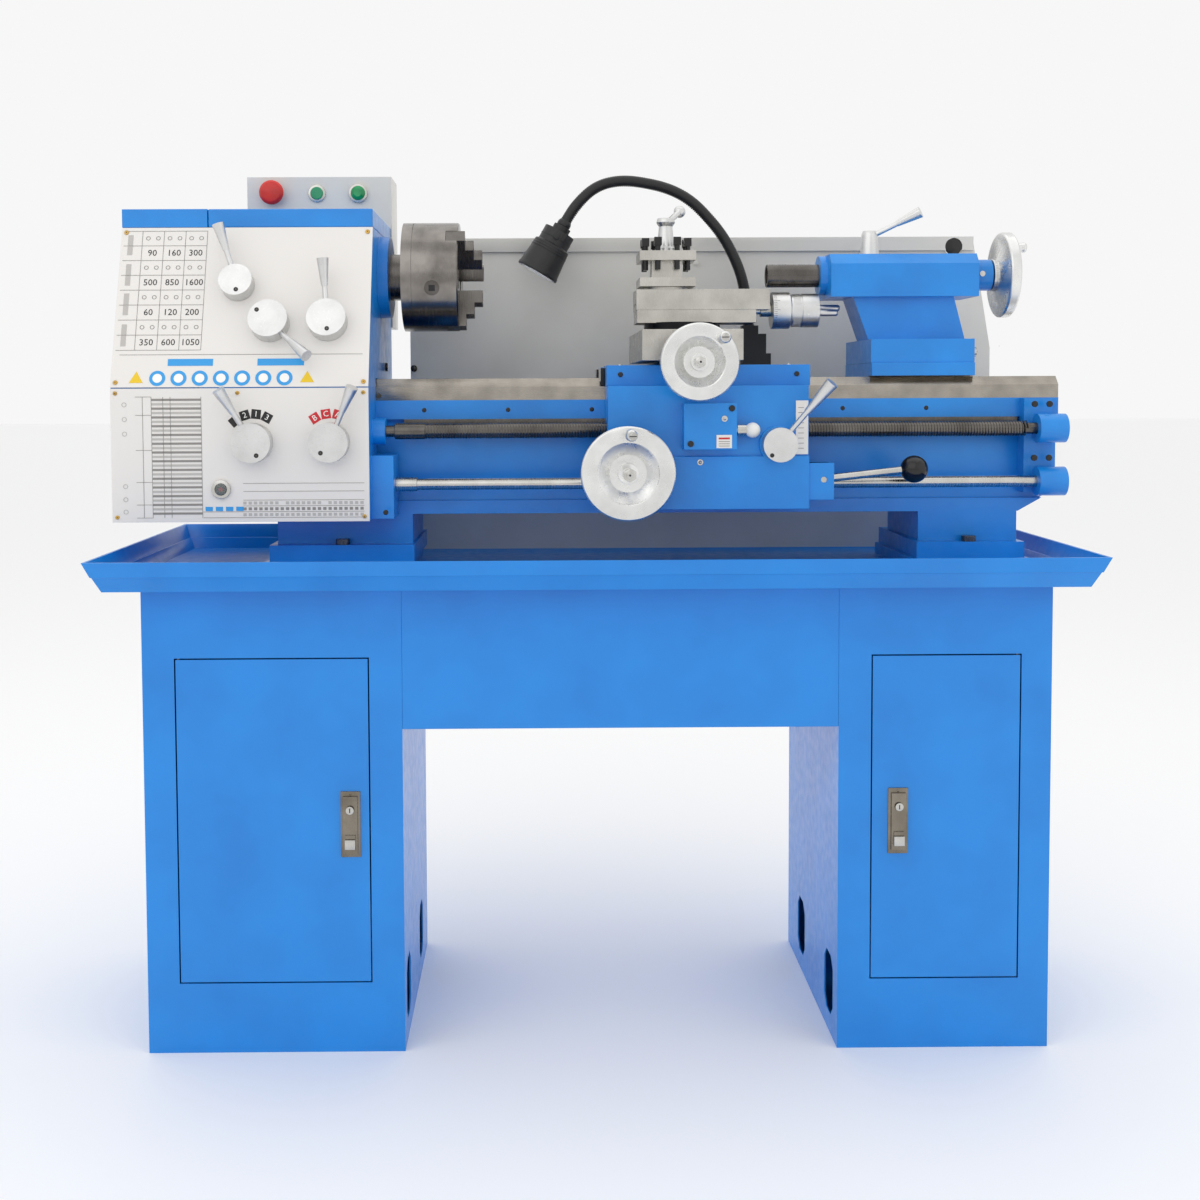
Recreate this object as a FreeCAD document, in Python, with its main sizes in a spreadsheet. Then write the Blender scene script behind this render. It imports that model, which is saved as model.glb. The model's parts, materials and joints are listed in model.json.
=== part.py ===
import FreeCAD, Part
import math
import os
import re
import Sketcher

# Metal-turning lathe on a two-cabinet stand.
# X runs along the bed towards the tailstock, -Y is the operator's side and Z is up.
# The origin is on the floor under the middle of the chip tray.

os.makedirs("parts", exist_ok=True)
doc = FreeCAD.newDocument("lathe")
sheet = doc.addObject("Spreadsheet::Sheet", "dims")

sizes = {
    # stand
    "tray_long": 1340, "tray_deep": 560, "tray_high": 679, "tray_tall": 41, "tray_flare": 20,
    "skin": 2, "stand_tall": 638, "stand_setback": 65, "stand_deep": 393,
    "left_wide": 349, "left_inset": 59, "right_wide": 288, "right_inset": 55,
    "apron_panel_tall": 194, "flange": 20, "door_low": 96, "door_tall": 446,
    "left_door_wide": 262, "left_door_inset": 43, "right_door_wide": 203, "right_door_inset": 40,
    "door_gap": 2, "door_deep": 16, "door_edge": 9, "pivot_in": 5, "pivot_back": 4.5,
    "pivot_pin": 2.5, "pivot_reach": 8, "run_gap": 0.05,
    "latch_wide": 20, "latch_tall": 78, "latch_deep": 7, "latch_low": 180, "latch_inset": 37,
    "slot_wide": 60, "slot_tall": 84, "slot_low": 27, "slot_first": 30, "slot_pitch": 215,
    "pad_tall": 18, "bolt_size": 6,
    # spindle line and bed
    "axis_y": 25, "axis_z": 1068, "way_z": 905, "bed_half": 93, "bed_left": 541, "bed_right": 670,
    "way_wide": 43, "way_tall": 19, "vee_rise": 12, "wall_out": 84, "wall_thick": 16,
    "foot_z": 657, "foot_tall": 24, "foot_half": 118, "bed_low": 723, "lip_tall": 27,
    "left_foot_from": 460, "left_foot_to": 254, "right_foot_from": 462, "right_foot_to": 616,
    "rib_pitch": 145, "rib_thick": 14,
    "screw_y": 130, "screw_z": 843, "screw_size": 10.2, "feed_z": 768, "feed_size": 8,
    "collar_size": 11.5, "collar_long": 30, "rack_tall": 26, "rack_deep": 12, "rack_tooth": 6.28,
    "bracket_at": 615, "bracket_long": 40, "boss_size": 20.5, "boss_long": 52,
    # headstock
    "head_left": 662, "head_right": 309, "head_seam": 541, "head_top": 1157, "head_lid": 26,
    "head_front": 110, "head_back": 140, "fascia_low": 906, "fascia_front": 186, "fascia_base": 721,
    "plate": 2, "head_wall": 12, "cover_gap": 1, "gear_block_long": 31,
    "spindle_size": 26, "spindle_bore": 19, "nose_size": 34, "nose_long": 20, "cap_size": 60,
    "cap_long": 15, "chuck_size": 80, "chuck_long": 82, "chuck_back": 16, "chuck_bore": 20,
    "jaw_wide": 22, "jaw_tall": 60, "jaw_deep": 20, "jaw_sink": 18, "jaw_out": 34, "jaw_start": 24,
    "lever_hub": 27, "range_hub": 23, "hub_tall": 24, "lever_reach": 64, "lever_shaft": 7,
    "box_left": 534, "box_right": 307, "box_top": 1237, "box_low": 1000, "box_deep": 90,
     "stop_size": 19, "start_size": 13, "button_travel": 5, "button_z": 26,
    "guard_front": 206, "guard_right": 632, "guard_low": 640, "guard_top": 1146,
    # drive
    "motor_y": 170, "motor_z": 790, "motor_size": 62, "motor_long": 230, "motor_pulley_size": 34,
    "input_y": 72, "input_z": 985, "input_size": 55, "belt_wide": 20, "belt_thick": 6,
    "guard_left": 285, "guard_slant": 30, "guard_hole": 14, "mesh_gap": 0.4, "journal": 8, "belt_gap": 0.3,
    "belt_plane": 606, "gear_plane": 572, "gear_thick": 14, "mandrel_gear": 30, "idler_size": 94,
    "input_gear": 44,
    # carriage
    "saddle_left": 19, "saddle_long": 284, "saddle_tall": 29, "saddle_front": 150,
    "saddle_back": 140, "wing_deep": 96, "bridge_left": 62, "bridge_right": 212,
    "carriage_apron_front": 190, "apron_long": 276, "apron_tall": 170, "apron_wall": 12,
    "wheel_size": 64, "wheel_x": 44, "wheel_z": 787, "wheel_front": 236, "rim_deep": 16,
    "cross_size": 52, "cross_x": 137, "cross_z": 936, "cross_front": 262,
    "cross_half": 70, "cross_slide_tall": 43, "cross_rise": 6, "cross_back": 125, "cross_nose": 170,
    "dove_half": 36, "dove_flare": 10, "dove_tall": 14,
    "swivel_size": 56, "swivel_tall": 14, "compound_x": 137, "compound_y": 12,
    "top_base_left": 68, "top_base_right": 242, "top_base_tall": 19, "top_half": 38,
    "top_left": 67, "top_right": 262, "top_tall": 30, "post_x": 113, "post_half": 41,
    "post_base": 12, "post_waist": 26, "post_cap": 14, "post_neck": 22, "post_lift": 4,
    "crank_x": 269, "dial_size": 27, "dial_long": 44, "crank_hub": 25,
    "half_nut_x": 252, "half_nut_z": 824, "half_nut_hub": 23.5,
    "select_x": 214, "select_z": 844, "control_x": 330, "control_z": 779,
    "lamp_x": 267, "lamp_y": 130, "lamp_base": 45, "lamp_tall": 66, "tube_size": 8,
    "lamp_size": 34, "lamp_long": 66, "joint_ball": 11,
    "crank_shaft": 5.5, "screw_shaft": 7, "dove_gap": 0.1, "stud_size": 8, "grip_size": 8,
    "cross_grip": 36, "wheel_grip": 45, "control_size": 5.5, "control_ball": 19, "ledge": 6,
    "ledge_z": 808, "gear_block_left": 121, "gear_block_wide": 72, "gear_block_low": 818,
    "gear_block_high": 881, "gear_block_deep": 25, "hinge_out": 5, "hinge_lug": 20, "hinge_low": 780,
    # tailstock
    "tail_left": 402, "tail_long": 149, "tail_base_tall": 32,  "tail_body_left": 351,
    "tail_body_right": 567, "tail_body_tall": 62, "tail_body_half": 52, "tail_neck_half": 38,
    "quill_size": 17, "quill_from": 264, "quill_clear": 0.05, "tail_wheel_x": 606,
    "tail_wheel_size": 63, "quill_lock_x": 418,
}

for row, (name, size) in enumerate(sizes.items(), start=1):
    sheet.set(f"A{row}", name)
    sheet.set(f"B{row}", str(size))
    sheet.setAlias(f"B{row}", name)
doc.recompute()

ALONG = {
    "X": FreeCAD.Rotation(FreeCAD.Vector(0, 1, 0), 90),
    "Y": FreeCAD.Rotation(FreeCAD.Vector(1, 0, 0), -90),
    "Z": FreeCAD.Rotation(),
    "-Y": FreeCAD.Rotation(FreeCAD.Vector(1, 0, 0), 90),
    "-X": FreeCAD.Rotation(FreeCAD.Vector(0, 1, 0), -90),
}
probe = doc.addObject("App::FeaturePython", "probe")
probe.addProperty("App::PropertyFloat", "amount")
subparts = {}


def bound(text):
    """Write a size name as a reference to its spreadsheet cell."""
    swap = lambda word: "dims." + word[0] if word[0] in sizes else word[0]
    return re.sub(r"[a-z][a-z_]+", swap, str(text))


def number(text):
    """Present value of a formula over the spreadsheet's sizes."""
    probe.setExpression("amount", bound(text))
    probe.recompute()
    return probe.amount


def place(piece, x, y, z, along="Z"):
    rotation = ALONG[along] if isinstance(along, str) else along
    piece.Placement = FreeCAD.Placement(FreeCAD.Vector(), rotation)
    for letter, value in zip("xyz", (x, y, z)):
        piece.setExpression("Placement.Base." + letter, bound(value))
    return piece


def box(long, deep, tall, x, y, z):
    piece = doc.addObject("Part::Box", "box")
    for name, value in (("Length", long), ("Width", deep), ("Height", tall)):
        piece.setExpression(name, bound(value))
    return place(piece, x, y, z)


def span(x_from, x_to, y_from, y_to, z_from, z_to):
    """Box given by its low and high faces."""
    return box(f"({x_to}) - ({x_from})", f"({y_to}) - ({y_from})", f"({z_to}) - ({z_from})",
               x_from, y_from, z_from)


def rod(radius, long, x, y, z, along="Z"):
    piece = doc.addObject("Part::Cylinder", "rod")
    piece.setExpression("Radius", bound(radius))
    piece.setExpression("Height", bound(long))
    return place(piece, x, y, z, along)


def ball(radius, x, y, z):
    piece = doc.addObject("Part::Sphere", "ball")
    piece.setExpression("Radius", bound(radius))
    return place(piece, x, y, z)


def cone(radius, far_radius, long, x, y, z, along="Z"):
    piece = doc.addObject("Part::Cone", "cone")
    for name, value in (("Radius1", radius), ("Radius2", far_radius), ("Height", long)):
        piece.setExpression(name, bound(value))
    return place(piece, x, y, z, along)


def fuse(*pieces):
    if len(pieces) == 1:
        return pieces[0]
    joined = doc.addObject("Part::MultiFuse", "fuse")
    joined.Shapes = list(pieces)
    joined.Refine = True
    return joined


def cut(base, *tools):
    left = doc.addObject("Part::Cut", "cut")
    left.Base = base
    left.Tool = fuse(*tools)
    left.Refine = True
    return left


def group(*pieces):
    """Separate solids that share one node."""
    held = doc.addObject("Part::Compound", "group")
    held.Links = list(pieces)
    return held


def outline(body, plane, points):
    """Closed sketch whose corners are bound to formulas."""
    sketch = body.newObject("Sketcher::SketchObject", "outline")
    base = [item for item in body.Origin.OriginFeatures if item.Role == plane][0]
    sketch.AttachmentSupport = (base, [""])
    sketch.MapMode = "FlatFace"
    corners = [FreeCAD.Vector(number(across), number(up), 0) for across, up in points]
    last = len(points) - 1
    for index, corner in enumerate(corners):
        following = corners[0] if index == last else corners[index + 1]
        sketch.addGeometry(Part.LineSegment(corner, following), False)
    for index, (across, up) in enumerate(points):
        following = 0 if index == last else index + 1
        sketch.addConstraint(Sketcher.Constraint("Coincident", index, 2, following, 1))
        for kind, text, value in (("DistanceX", across, corners[index].x),
                                  ("DistanceY", up, corners[index].y)):
            held = sketch.addConstraint(Sketcher.Constraint(kind, -1, 1, index, 1, value))
            sketch.setExpression(f"Constraints[{held}]", bound(text))
    return sketch


def plate(points, thick, x, y, z, plane="XY_Plane", along="Z", centred=False):
    """Outline padded along its normal, or half each way."""
    body = doc.addObject("PartDesign::Body", "plate")
    pad = body.newObject("PartDesign::Pad", "pad")
    pad.Profile = outline(body, plane, points)
    pad.setExpression("Length", bound(thick))
    if centred:
        pad.SideType = "Symmetric"
    return place(body, x, y, z, along)


def turned(points, x, y, z, along="Z"):
    """Half outline (radius, height) spun about its own height axis."""
    body = doc.addObject("PartDesign::Body", "turned")
    sketch = outline(body, "XZ_Plane", points)
    spin = body.newObject("PartDesign::Revolution", "spin")
    spin.Profile = sketch
    spin.ReferenceAxis = (sketch, ["V_Axis"])
    spin.Angle = 360
    return place(body, x, y, z, along)


def finish(name, piece):
    piece.Label = name
    subparts[name] = piece
    return piece


# ---- stand -------------------------------------------------------------
FRONT = "(stand_setback - tray_deep / 2)"
LEFT = "(left_inset - tray_long / 2)"
RIGHT = "(tray_long / 2 - right_inset - right_wide)"
FLOOR = "(stand_tall + skin)"


def cabinet(name, start, wide, door_at, door_wide, slots_at, hinge_at):
    """Sheet-steel cabinet, open behind its door, with lifting slots in its inner side."""
    back = f"({FRONT} + stand_deep)"
    shell = span(start, f"{start} + {wide}", FRONT, back, 0, "stand_tall")
    inside = span(f"{start} + skin", f"{start} + {wide} - skin", f"{FRONT} + skin",
                  f"{back} - skin", "skin", "stand_tall - skin")
    doorway = box(door_wide, "skin * 3", "door_tall", door_at, f"{FRONT} - skin", "door_low")
    cuts = [inside, doorway]
    for index in range(2):
        low = f"({FRONT} + slot_first + slot_pitch * {index})"
        corner = "slot_wide / 4"
        shape = [("0", corner), (corner, "0"), (f"slot_wide - {corner}", "0"),
                 ("slot_wide", corner), ("slot_wide", f"slot_tall - {corner}"),
                 (f"slot_wide - {corner}", "slot_tall"), (corner, "slot_tall"),
                 ("0", f"slot_tall - {corner}")]
        cuts.append(plate(shape, "skin * 3", f"{slots_at} - skin * 1.5", low, "slot_low",
                          "YZ_Plane"))
    body = cut(shell, *cuts)
    lugs = []
    for low in ("door_low - pivot_reach", "door_low + door_tall"):
        lug = box("pivot_in * 2", "pivot_back * 3", "pivot_reach", f"{hinge_at} - pivot_in",
                  f"{FRONT} + skin", low)
        lugs.append(lug)
    pins = [rod("pivot_pin", "pivot_reach + 2", hinge_at, f"{FRONT} + pivot_back", low)
            for low in ("door_low - pivot_reach - 1", "door_low + door_tall - 1")]
    return finish(name, cut(fuse(body, *lugs), *pins))


def door(name, start, wide, hinge_at):
    """Folded pan that turns on two pins near one edge."""
    low = "(door_low + door_gap)"
    high = "(door_low + door_tall - door_gap)"
    near = f"({start} + door_gap)"
    far = f"({start} + {wide} - door_gap)"
    pan = span(near, far, FRONT, f"{FRONT} + door_deep", low, high)
    hollow = span(f"{near} + door_edge", f"{far} - door_edge", f"{FRONT} + skin",
                  f"{FRONT} + door_deep + 1", f"{low} + door_edge * 2", f"{high} - door_edge * 2")
    holes = [rod("pivot_pin + run_gap", "pivot_reach + 1", hinge_at, f"{FRONT} + pivot_back", low_end)
             for low_end in (f"{low} - 1", f"{high} - pivot_reach")]
    return finish(name, cut(pan, hollow, *holes))


def latch(name, middle):
    """Paddle handle, hinged along its top edge, standing on the door's face."""
    top = "(door_low + latch_low + latch_tall)"
    paddle = box("latch_wide", "latch_deep", "latch_tall", f"{middle} - latch_wide / 2",
                 f"{FRONT} - latch_deep", f"{top} - latch_tall")
    grip = box("latch_wide - 6", 2, "latch_wide", f"{middle} - latch_wide / 2 + 3",
               f"{FRONT} - latch_deep - 2", f"{top} - latch_tall + 6")
    return finish(name, fuse(paddle, grip))


def stand():
    left_door_at = f"({LEFT} + left_door_inset)"
    right_door_at = f"({RIGHT} + right_door_inset + 4)"
    left_hinge = f"({left_door_at} + pivot_in)"
    right_hinge = f"({right_door_at} + right_door_wide - pivot_in)"
    cabinet("left_cabinet", LEFT, "left_wide", left_door_at, "left_door_wide",
            f"({LEFT} + left_wide)", left_hinge)
    cabinet("right_cabinet", RIGHT, "right_wide", right_door_at, "right_door_wide",
            RIGHT, right_hinge)
    door("left_door", left_door_at, "left_door_wide", left_hinge)
    door("right_door", right_door_at, "right_door_wide", right_hinge)
    latch("left_latch", f"({left_door_at} + left_door_wide - latch_inset + latch_wide / 2)")
    latch("right_latch", f"({right_door_at} + latch_inset)")

    # knee panel with folded top, bottom and end flanges, between the cabinets
    panel_from = f"({LEFT} + left_wide)"
    low = "(stand_tall - apron_panel_tall)"
    face = span(panel_from, RIGHT, FRONT, f"{FRONT} + flange", low, "stand_tall")
    hollow = span(f"{panel_from} + skin", f"{RIGHT} - skin", f"{FRONT} + skin",
                  f"{FRONT} + flange + 1", f"{low} + skin", "stand_tall - skin")
    finish("knee_panel", cut(face, hollow))

    # tray: flared walls with a folded rim, and welded pads under the bed's feet
    walls = []
    half_rise = "(tray_tall / 2)"
    for step, grow in ((0, 0), (1, 1.5)):
        for inner in (0, 1):
            wedge = doc.addObject("Part::Wedge", "flare")
            base = f"tray_flare * (1 - {step} / 2) - {grow} + {inner} * (skin + {grow})"
            ends = f"tray_flare * (1 - {step}) / 2 * (1 - {step}) - {grow} + {inner} * (skin + {grow})"
            if step == 1:
                ends = f"{inner} * (skin + {grow})"
            sill = f"skin * {inner} * (1 - {step}) - 1 * {inner} * {step}"
            head = f"{half_rise} + {inner}"
            wedge.setExpression("Xmin", bound(base))
            wedge.setExpression("Xmax", bound(f"tray_long - ({base})"))
            wedge.setExpression("Zmin", bound(base))
            wedge.setExpression("Zmax", bound(f"tray_deep - ({base})"))
            wedge.setExpression("X2min", bound(ends))
            wedge.setExpression("X2max", bound(f"tray_long - ({ends})"))
            wedge.setExpression("Z2min", bound(ends))
            wedge.setExpression("Z2max", bound(f"tray_deep - ({ends})"))
            wedge.setExpression("Ymin", bound(sill))
            wedge.setExpression("Ymax", bound(head))
            place(wedge, "-tray_long / 2", "tray_deep / 2", f"stand_tall + {step} * {half_rise}", "-Y")
            walls.append(wedge)
    wall = cut(fuse(walls[0], walls[2]), walls[1], walls[3])
    pads = [span(f"-left_foot_from - 10", "-left_foot_to - 7", "axis_y - foot_half",
                 "axis_y + foot_half", "stand_tall + skin / 2", "foot_z"),
            span("right_foot_from - 6", "right_foot_to + 10", "axis_y - foot_half",
                 "axis_y + foot_half", "stand_tall + skin / 2", "foot_z")]
    finish("chip_tray", fuse(wall, *pads))
    return left_hinge, right_hinge


left_pin_x, right_pin_x = stand()


# ---- bed ---------------------------------------------------------------
LIP_LOW = "(way_z - way_tall - lip_tall)"
HEAD_SILL = "(head_top - head_lid)"
SCREW = "(axis_y - screw_y)"


def bed_side(mirror):
    """One long wall of the bed with its flat way, vee way, lip and foot flange."""
    shape = [("bed_half", "way_z"), ("bed_half - vee_rise", "way_z + vee_rise"),
             ("bed_half - vee_rise * 2", "way_z"), ("bed_half - way_wide", "way_z"),
             ("bed_half - way_wide", "way_z - way_tall"),
             ("wall_out - wall_thick", "way_z - way_tall * 1.5"),
             ("wall_out - wall_thick", "bed_low"), ("bed_half", "bed_low"),
             ("bed_half", "bed_low + way_tall"), ("wall_out", "bed_low + way_tall"),
             ("wall_out", LIP_LOW), ("bed_half + 1", LIP_LOW),
             ("bed_half + 1", "way_z - way_tall"), ("bed_half", "way_z - way_tall")]
    points = [(f"axis_y + {mirror} * ({across})", up) for across, up in shape]
    return plate(points, "bed_left + bed_right", "-bed_left", 0, 0, "YZ_Plane")


def bed():
    pieces = [bed_side(-1), bed_side(1)]
    for index in range(8):
        pieces.append(box("rib_thick", "(wall_out - wall_thick) * 2 + 2", "way_z - bed_low - 70",
                          f"rib_pitch * {index} - bed_left + 20",
                          "axis_y - wall_out + wall_thick - 1", "bed_low + 25"))
    for low, high in (("-left_foot_from", "-left_foot_to"), ("right_foot_from", "right_foot_to")):
        pieces.append(span(low, high, "axis_y - foot_half", "axis_y + foot_half",
                           "foot_z", "foot_z + foot_tall"))
        pieces.append(span(f"{low} + 8", f"{high} - 4", "axis_y - bed_half", "axis_y + bed_half",
                           "foot_z + foot_tall - 1", "bed_low + 1"))
    corner = plate([("bed_right + 1", "bed_low + 32"), ("right_foot_to - 4", "bed_low - 1"),
                    ("bed_right + 1", "bed_low - 1")], "bed_half * 3", 0,
                   "axis_y + bed_half * 1.5", 0, "XZ_Plane")
    bolt_holes = []
    for middle in ("-(left_foot_from + left_foot_to) / 2", "(right_foot_from + right_foot_to) / 2"):
        for side in (-1, 1):
            bolt_holes.append(rod("bolt_size", "foot_tall + 2", middle,
                                  f"axis_y + {side} * (foot_half - 12)", "foot_z - 1"))
    finish("bed", cut(fuse(*pieces), corner, *bolt_holes))


def feature(shape):
    piece = doc.addObject("Part::Feature", "shape")
    piece.Shape = shape
    return piece


def rack():
    """Rack screwed under the front lip, teeth downwards."""
    start = number("-head_right + 40")
    end = number("bracket_at - 4")
    top = number(LIP_LOW)
    low = top - number("rack_tall")
    pitch = number("rack_tooth")
    deep = number("rack_deep")
    points = [FreeCAD.Vector(start, 0, top), FreeCAD.Vector(start, 0, low)]
    for index in range(int((end - start) / pitch) - 1):
        at = start + index * pitch
        for across, up in ((0.2, 0), (0.4, 0.6), (0.8, 0.6), (1.0, 0)):
            points.append(FreeCAD.Vector(at + across * pitch, 0, low + up * pitch))
    points += [FreeCAD.Vector(end, 0, low), FreeCAD.Vector(end, 0, top)]
    face = Part.Face(Part.makePolygon(points + points[:1]))
    piece = feature(face.extrude(FreeCAD.Vector(0, deep, 0)))
    finish("rack", place(piece, 0, "axis_y - wall_out - rack_deep", 0))


def toothed(radius, teeth, bore, thick):
    """Spur wheel about Z with straight-sided teeth."""
    depth = radius * 4.2 / teeth
    points = []
    for index in range(teeth):
        for part, reach in ((0, depth), (0.2, 0), (0.5, 0), (0.7, depth)):
            turn = FreeCAD.Rotation(FreeCAD.Vector(0, 0, 1), 360 * (index + part) / teeth)
            points.append(turn.multVec(FreeCAD.Vector(radius - reach, 0, 0)))
    wheel = Part.Face(Part.makePolygon(points + points[:1])).extrude(FreeCAD.Vector(0, 0, thick))
    if bore:
        wheel = wheel.cut(Part.makeCylinder(bore, thick))
    return feature(wheel)


def feed_shafts():
    right_end = "bracket_at + bracket_long"
    screw = fuse(rod("screw_size", "bracket_at - 10 + head_right - 30", "-head_right + 30", SCREW,
                     "screw_z", "X"),
                 rod("collar_size", "collar_long * 1.4", "-head_right + 31", SCREW, "screw_z", "X"),
                 rod("journal", f"gear_plane + gear_thick + {right_end}", "-gear_plane - gear_thick",
                     SCREW, "screw_z", "X"))
    wheel = toothed(number("input_gear"), 44, number("journal"), number("gear_thick"))
    place(wheel, "-gear_plane", SCREW, "screw_z", "X")
    finish("leadscrew", fuse(screw, wheel))
    feed = fuse(rod("feed_size", "bracket_at + head_right + bracket_long - 10", "-head_right + 10",
                    SCREW, "feed_z", "X"),
                rod("feed_size + 2", "collar_long", "-head_right + 31", SCREW, "feed_z", "X"))
    key = box("bracket_at + head_right - 90", 4, 3, "-head_right + 75", f"{SCREW} - 2",
              "feed_z + feed_size - 2.5")
    finish("feed_rod", cut(feed, key))


def end_bracket():
    high = "way_z - way_tall - 1"
    low = "feed_z - boss_size + 4"
    face = span("bracket_at", "bracket_at + bracket_long", f"{SCREW} + boss_size - 3",
                "axis_y - bed_half - 1", low, high)
    root = span("bracket_at", "bracket_at + bracket_long", "axis_y - bed_half - 1",
                "axis_y - wall_out", low, LIP_LOW)
    waist = span("bracket_at - 1", "bracket_at + bracket_long + 1", f"{SCREW} - 2", f"{SCREW} + 11",
                 "screw_z + boss_size - 1", high)
    bosses = [rod("boss_size", "boss_long - 12", "bracket_at + 12", SCREW, middle, "X")
              for middle in ("screw_z", "feed_z")]
    bores = [rod("journal + run_gap", "boss_long * 2", "bracket_at - 10", SCREW, middle, "X")
             for middle in ("screw_z", "feed_z")]
    finish("end_bracket", cut(cut(fuse(face, root, *bosses), waist), *bores))


bed()
rack()
feed_shafts()
end_bracket()

# ---- headstock ---------------------------------------------------------
TILT = f"atan((fascia_front - head_front) / ({HEAD_SILL} - fascia_low))"
SLOPE = f"((fascia_front - head_front) / ({HEAD_SILL} - fascia_low))"


# idler centre, one mesh away from both the spindle's gear and the leadscrew's
DROP = "(axis_z - screw_z)"
FAR = f"sqrt(screw_y ^ 2 + {DROP} ^ 2)"
MESH = "(mandrel_gear + idler_size + mesh_gap)"
NEXT_MESH = "(idler_size + input_gear + mesh_gap)"
DOWN_LINE = f"(({MESH} ^ 2 - {NEXT_MESH} ^ 2 + {FAR} ^ 2) / (2 * {FAR}))"
ASIDE = f"sqrt({MESH} ^ 2 - {DOWN_LINE} ^ 2)"
IDLER_Y = f"(axis_y - {DOWN_LINE} * screw_y / {FAR} + {ASIDE} * {DROP} / {FAR})"
IDLER_UP = f"(axis_z - {DOWN_LINE} * {DROP} / {FAR} - {ASIDE} * screw_y / {FAR})"


def tilted(piece):
    piece.setExpression("Placement.Rotation.Angle", bound(f"90 deg - {TILT}"))
    return piece


def face_y(up):
    """Front surface of the sloping face at a height."""
    return f"(axis_y - head_front - ({HEAD_SILL} - ({up})) * {SLOPE})"


def headstock():
    long = "(head_seam - head_right)"
    back = "axis_y + head_back"
    crown = f"{HEAD_SILL}"
    lump = plate([(f"axis_y - head_front + plate", crown),
                  (f"axis_y - fascia_front + plate", "fascia_low"), (f"axis_y - fascia_front + plate",
                  "way_z"), (back, "way_z"), (back, crown)], long, "-head_seam", 0, 0, "YZ_Plane")
    cap = rod("cap_size", "cap_long + 1", "-head_right - 1", "axis_y", "axis_z", "X")
    hollow = plate([("axis_y - head_front + plate + head_wall * 1.1", f"{crown} + 1"),
                    ("axis_y - fascia_front + plate + head_wall * 1.1", "fascia_low + head_wall"),
                    (f"{back} - head_wall", "way_z + head_wall * 2"), (f"{back} - head_wall", f"{crown} + 1")],
                   f"{long} - head_wall * 2", "-head_seam + head_wall", 0, 0, "YZ_Plane")
    bore = rod("spindle_size + run_gap", f"{long} + cap_long + 2", "-head_seam - 1", "axis_y",
               "axis_z", "X")
    input_bore = rod("journal + 2 + run_gap", "head_wall + 2", "-head_seam - 1", "axis_y + input_y",
                     "input_z", "X")
    vees = [span("-head_seam - 1", "-head_right + 1", f"axis_y + {low}", f"axis_y + {high}",
                 "way_z - 1", "way_z + vee_rise + 1")
            for low, high in (("(-bed_half - 1)", "(-bed_half + vee_rise * 2 + 1)"),
                              ("(bed_half - vee_rise * 2 - 1)", "(bed_half + 1)"))]
    shafts = []
    for across, up, _, _ in HEAD_LEVERS.values():
        shafts.append(tilted(rod("lever_shaft + run_gap", 60, across, face_y(up), up, "-Y")))
        shafts[-1].setExpression("Placement.Base.y", bound(f"{face_y(up)} + 30"))
        shafts[-1].setExpression("Placement.Base.z", bound(f"({up}) - 30 * {SLOPE}"))
    stud = rod("journal", "gear_plane - head_seam + 4", "-gear_plane - 2", IDLER_Y, IDLER_UP, "X")
    finish("headstock", fuse(cut(fuse(lump, cap), hollow, bore, input_bore, *vees, *shafts), stud))

    lid = span("-head_seam", "-head_right", "axis_y - head_front", back, crown, "head_top")
    under = span("-head_seam + 6", "-head_right - 6", "axis_y - head_front + 6", f"{back} - 6",
                 f"{crown} - 1", "head_top - 6")
    finish("headstock_cover", cut(lid, under))

    sheet_face = plate([("axis_y - head_front", HEAD_SILL), ("axis_y - fascia_front", "fascia_low"),
                        ("axis_y - fascia_front + plate", "fascia_low"),
                        ("axis_y - head_front + plate", HEAD_SILL)], "head_left - head_right",
                       "-head_left", 0, 0, "YZ_Plane")
    holes = []
    for across, up, _, _ in HEAD_LEVERS.values():
        hole = tilted(rod("lever_shaft + 1", 20, across, 0, 0, "-Y"))
        hole.setExpression("Placement.Base.y", bound(f"{face_y(up)} + 10"))
        hole.setExpression("Placement.Base.z", bound(f"({up}) - 10 * {SLOPE}"))
        holes.append(hole)
    finish("upper_fascia", cut(sheet_face, *holes))


# name: across, up on the face, hub radius, direction of the handle in degrees
HEAD_LEVERS = {
    "range_lever": ("(-head_left + 168)", "(axis_z - 21)", "range_hub", 108),
    "speed_lever_left": ("(-head_left + 215)", "(axis_z - 75)", "lever_hub", -46),
    "speed_lever_right": ("(-head_left + 295)", "(axis_z - 74)", "lever_hub", 94),
}
FEED_LEVERS = {
    "feed_lever_left": ("(-head_left + 195)", "(fascia_low - 76)", "lever_hub", 119),
    "feed_lever_right": ("(-head_left + 300)", "(fascia_low - 76)", "lever_hub", 65),
}


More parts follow.
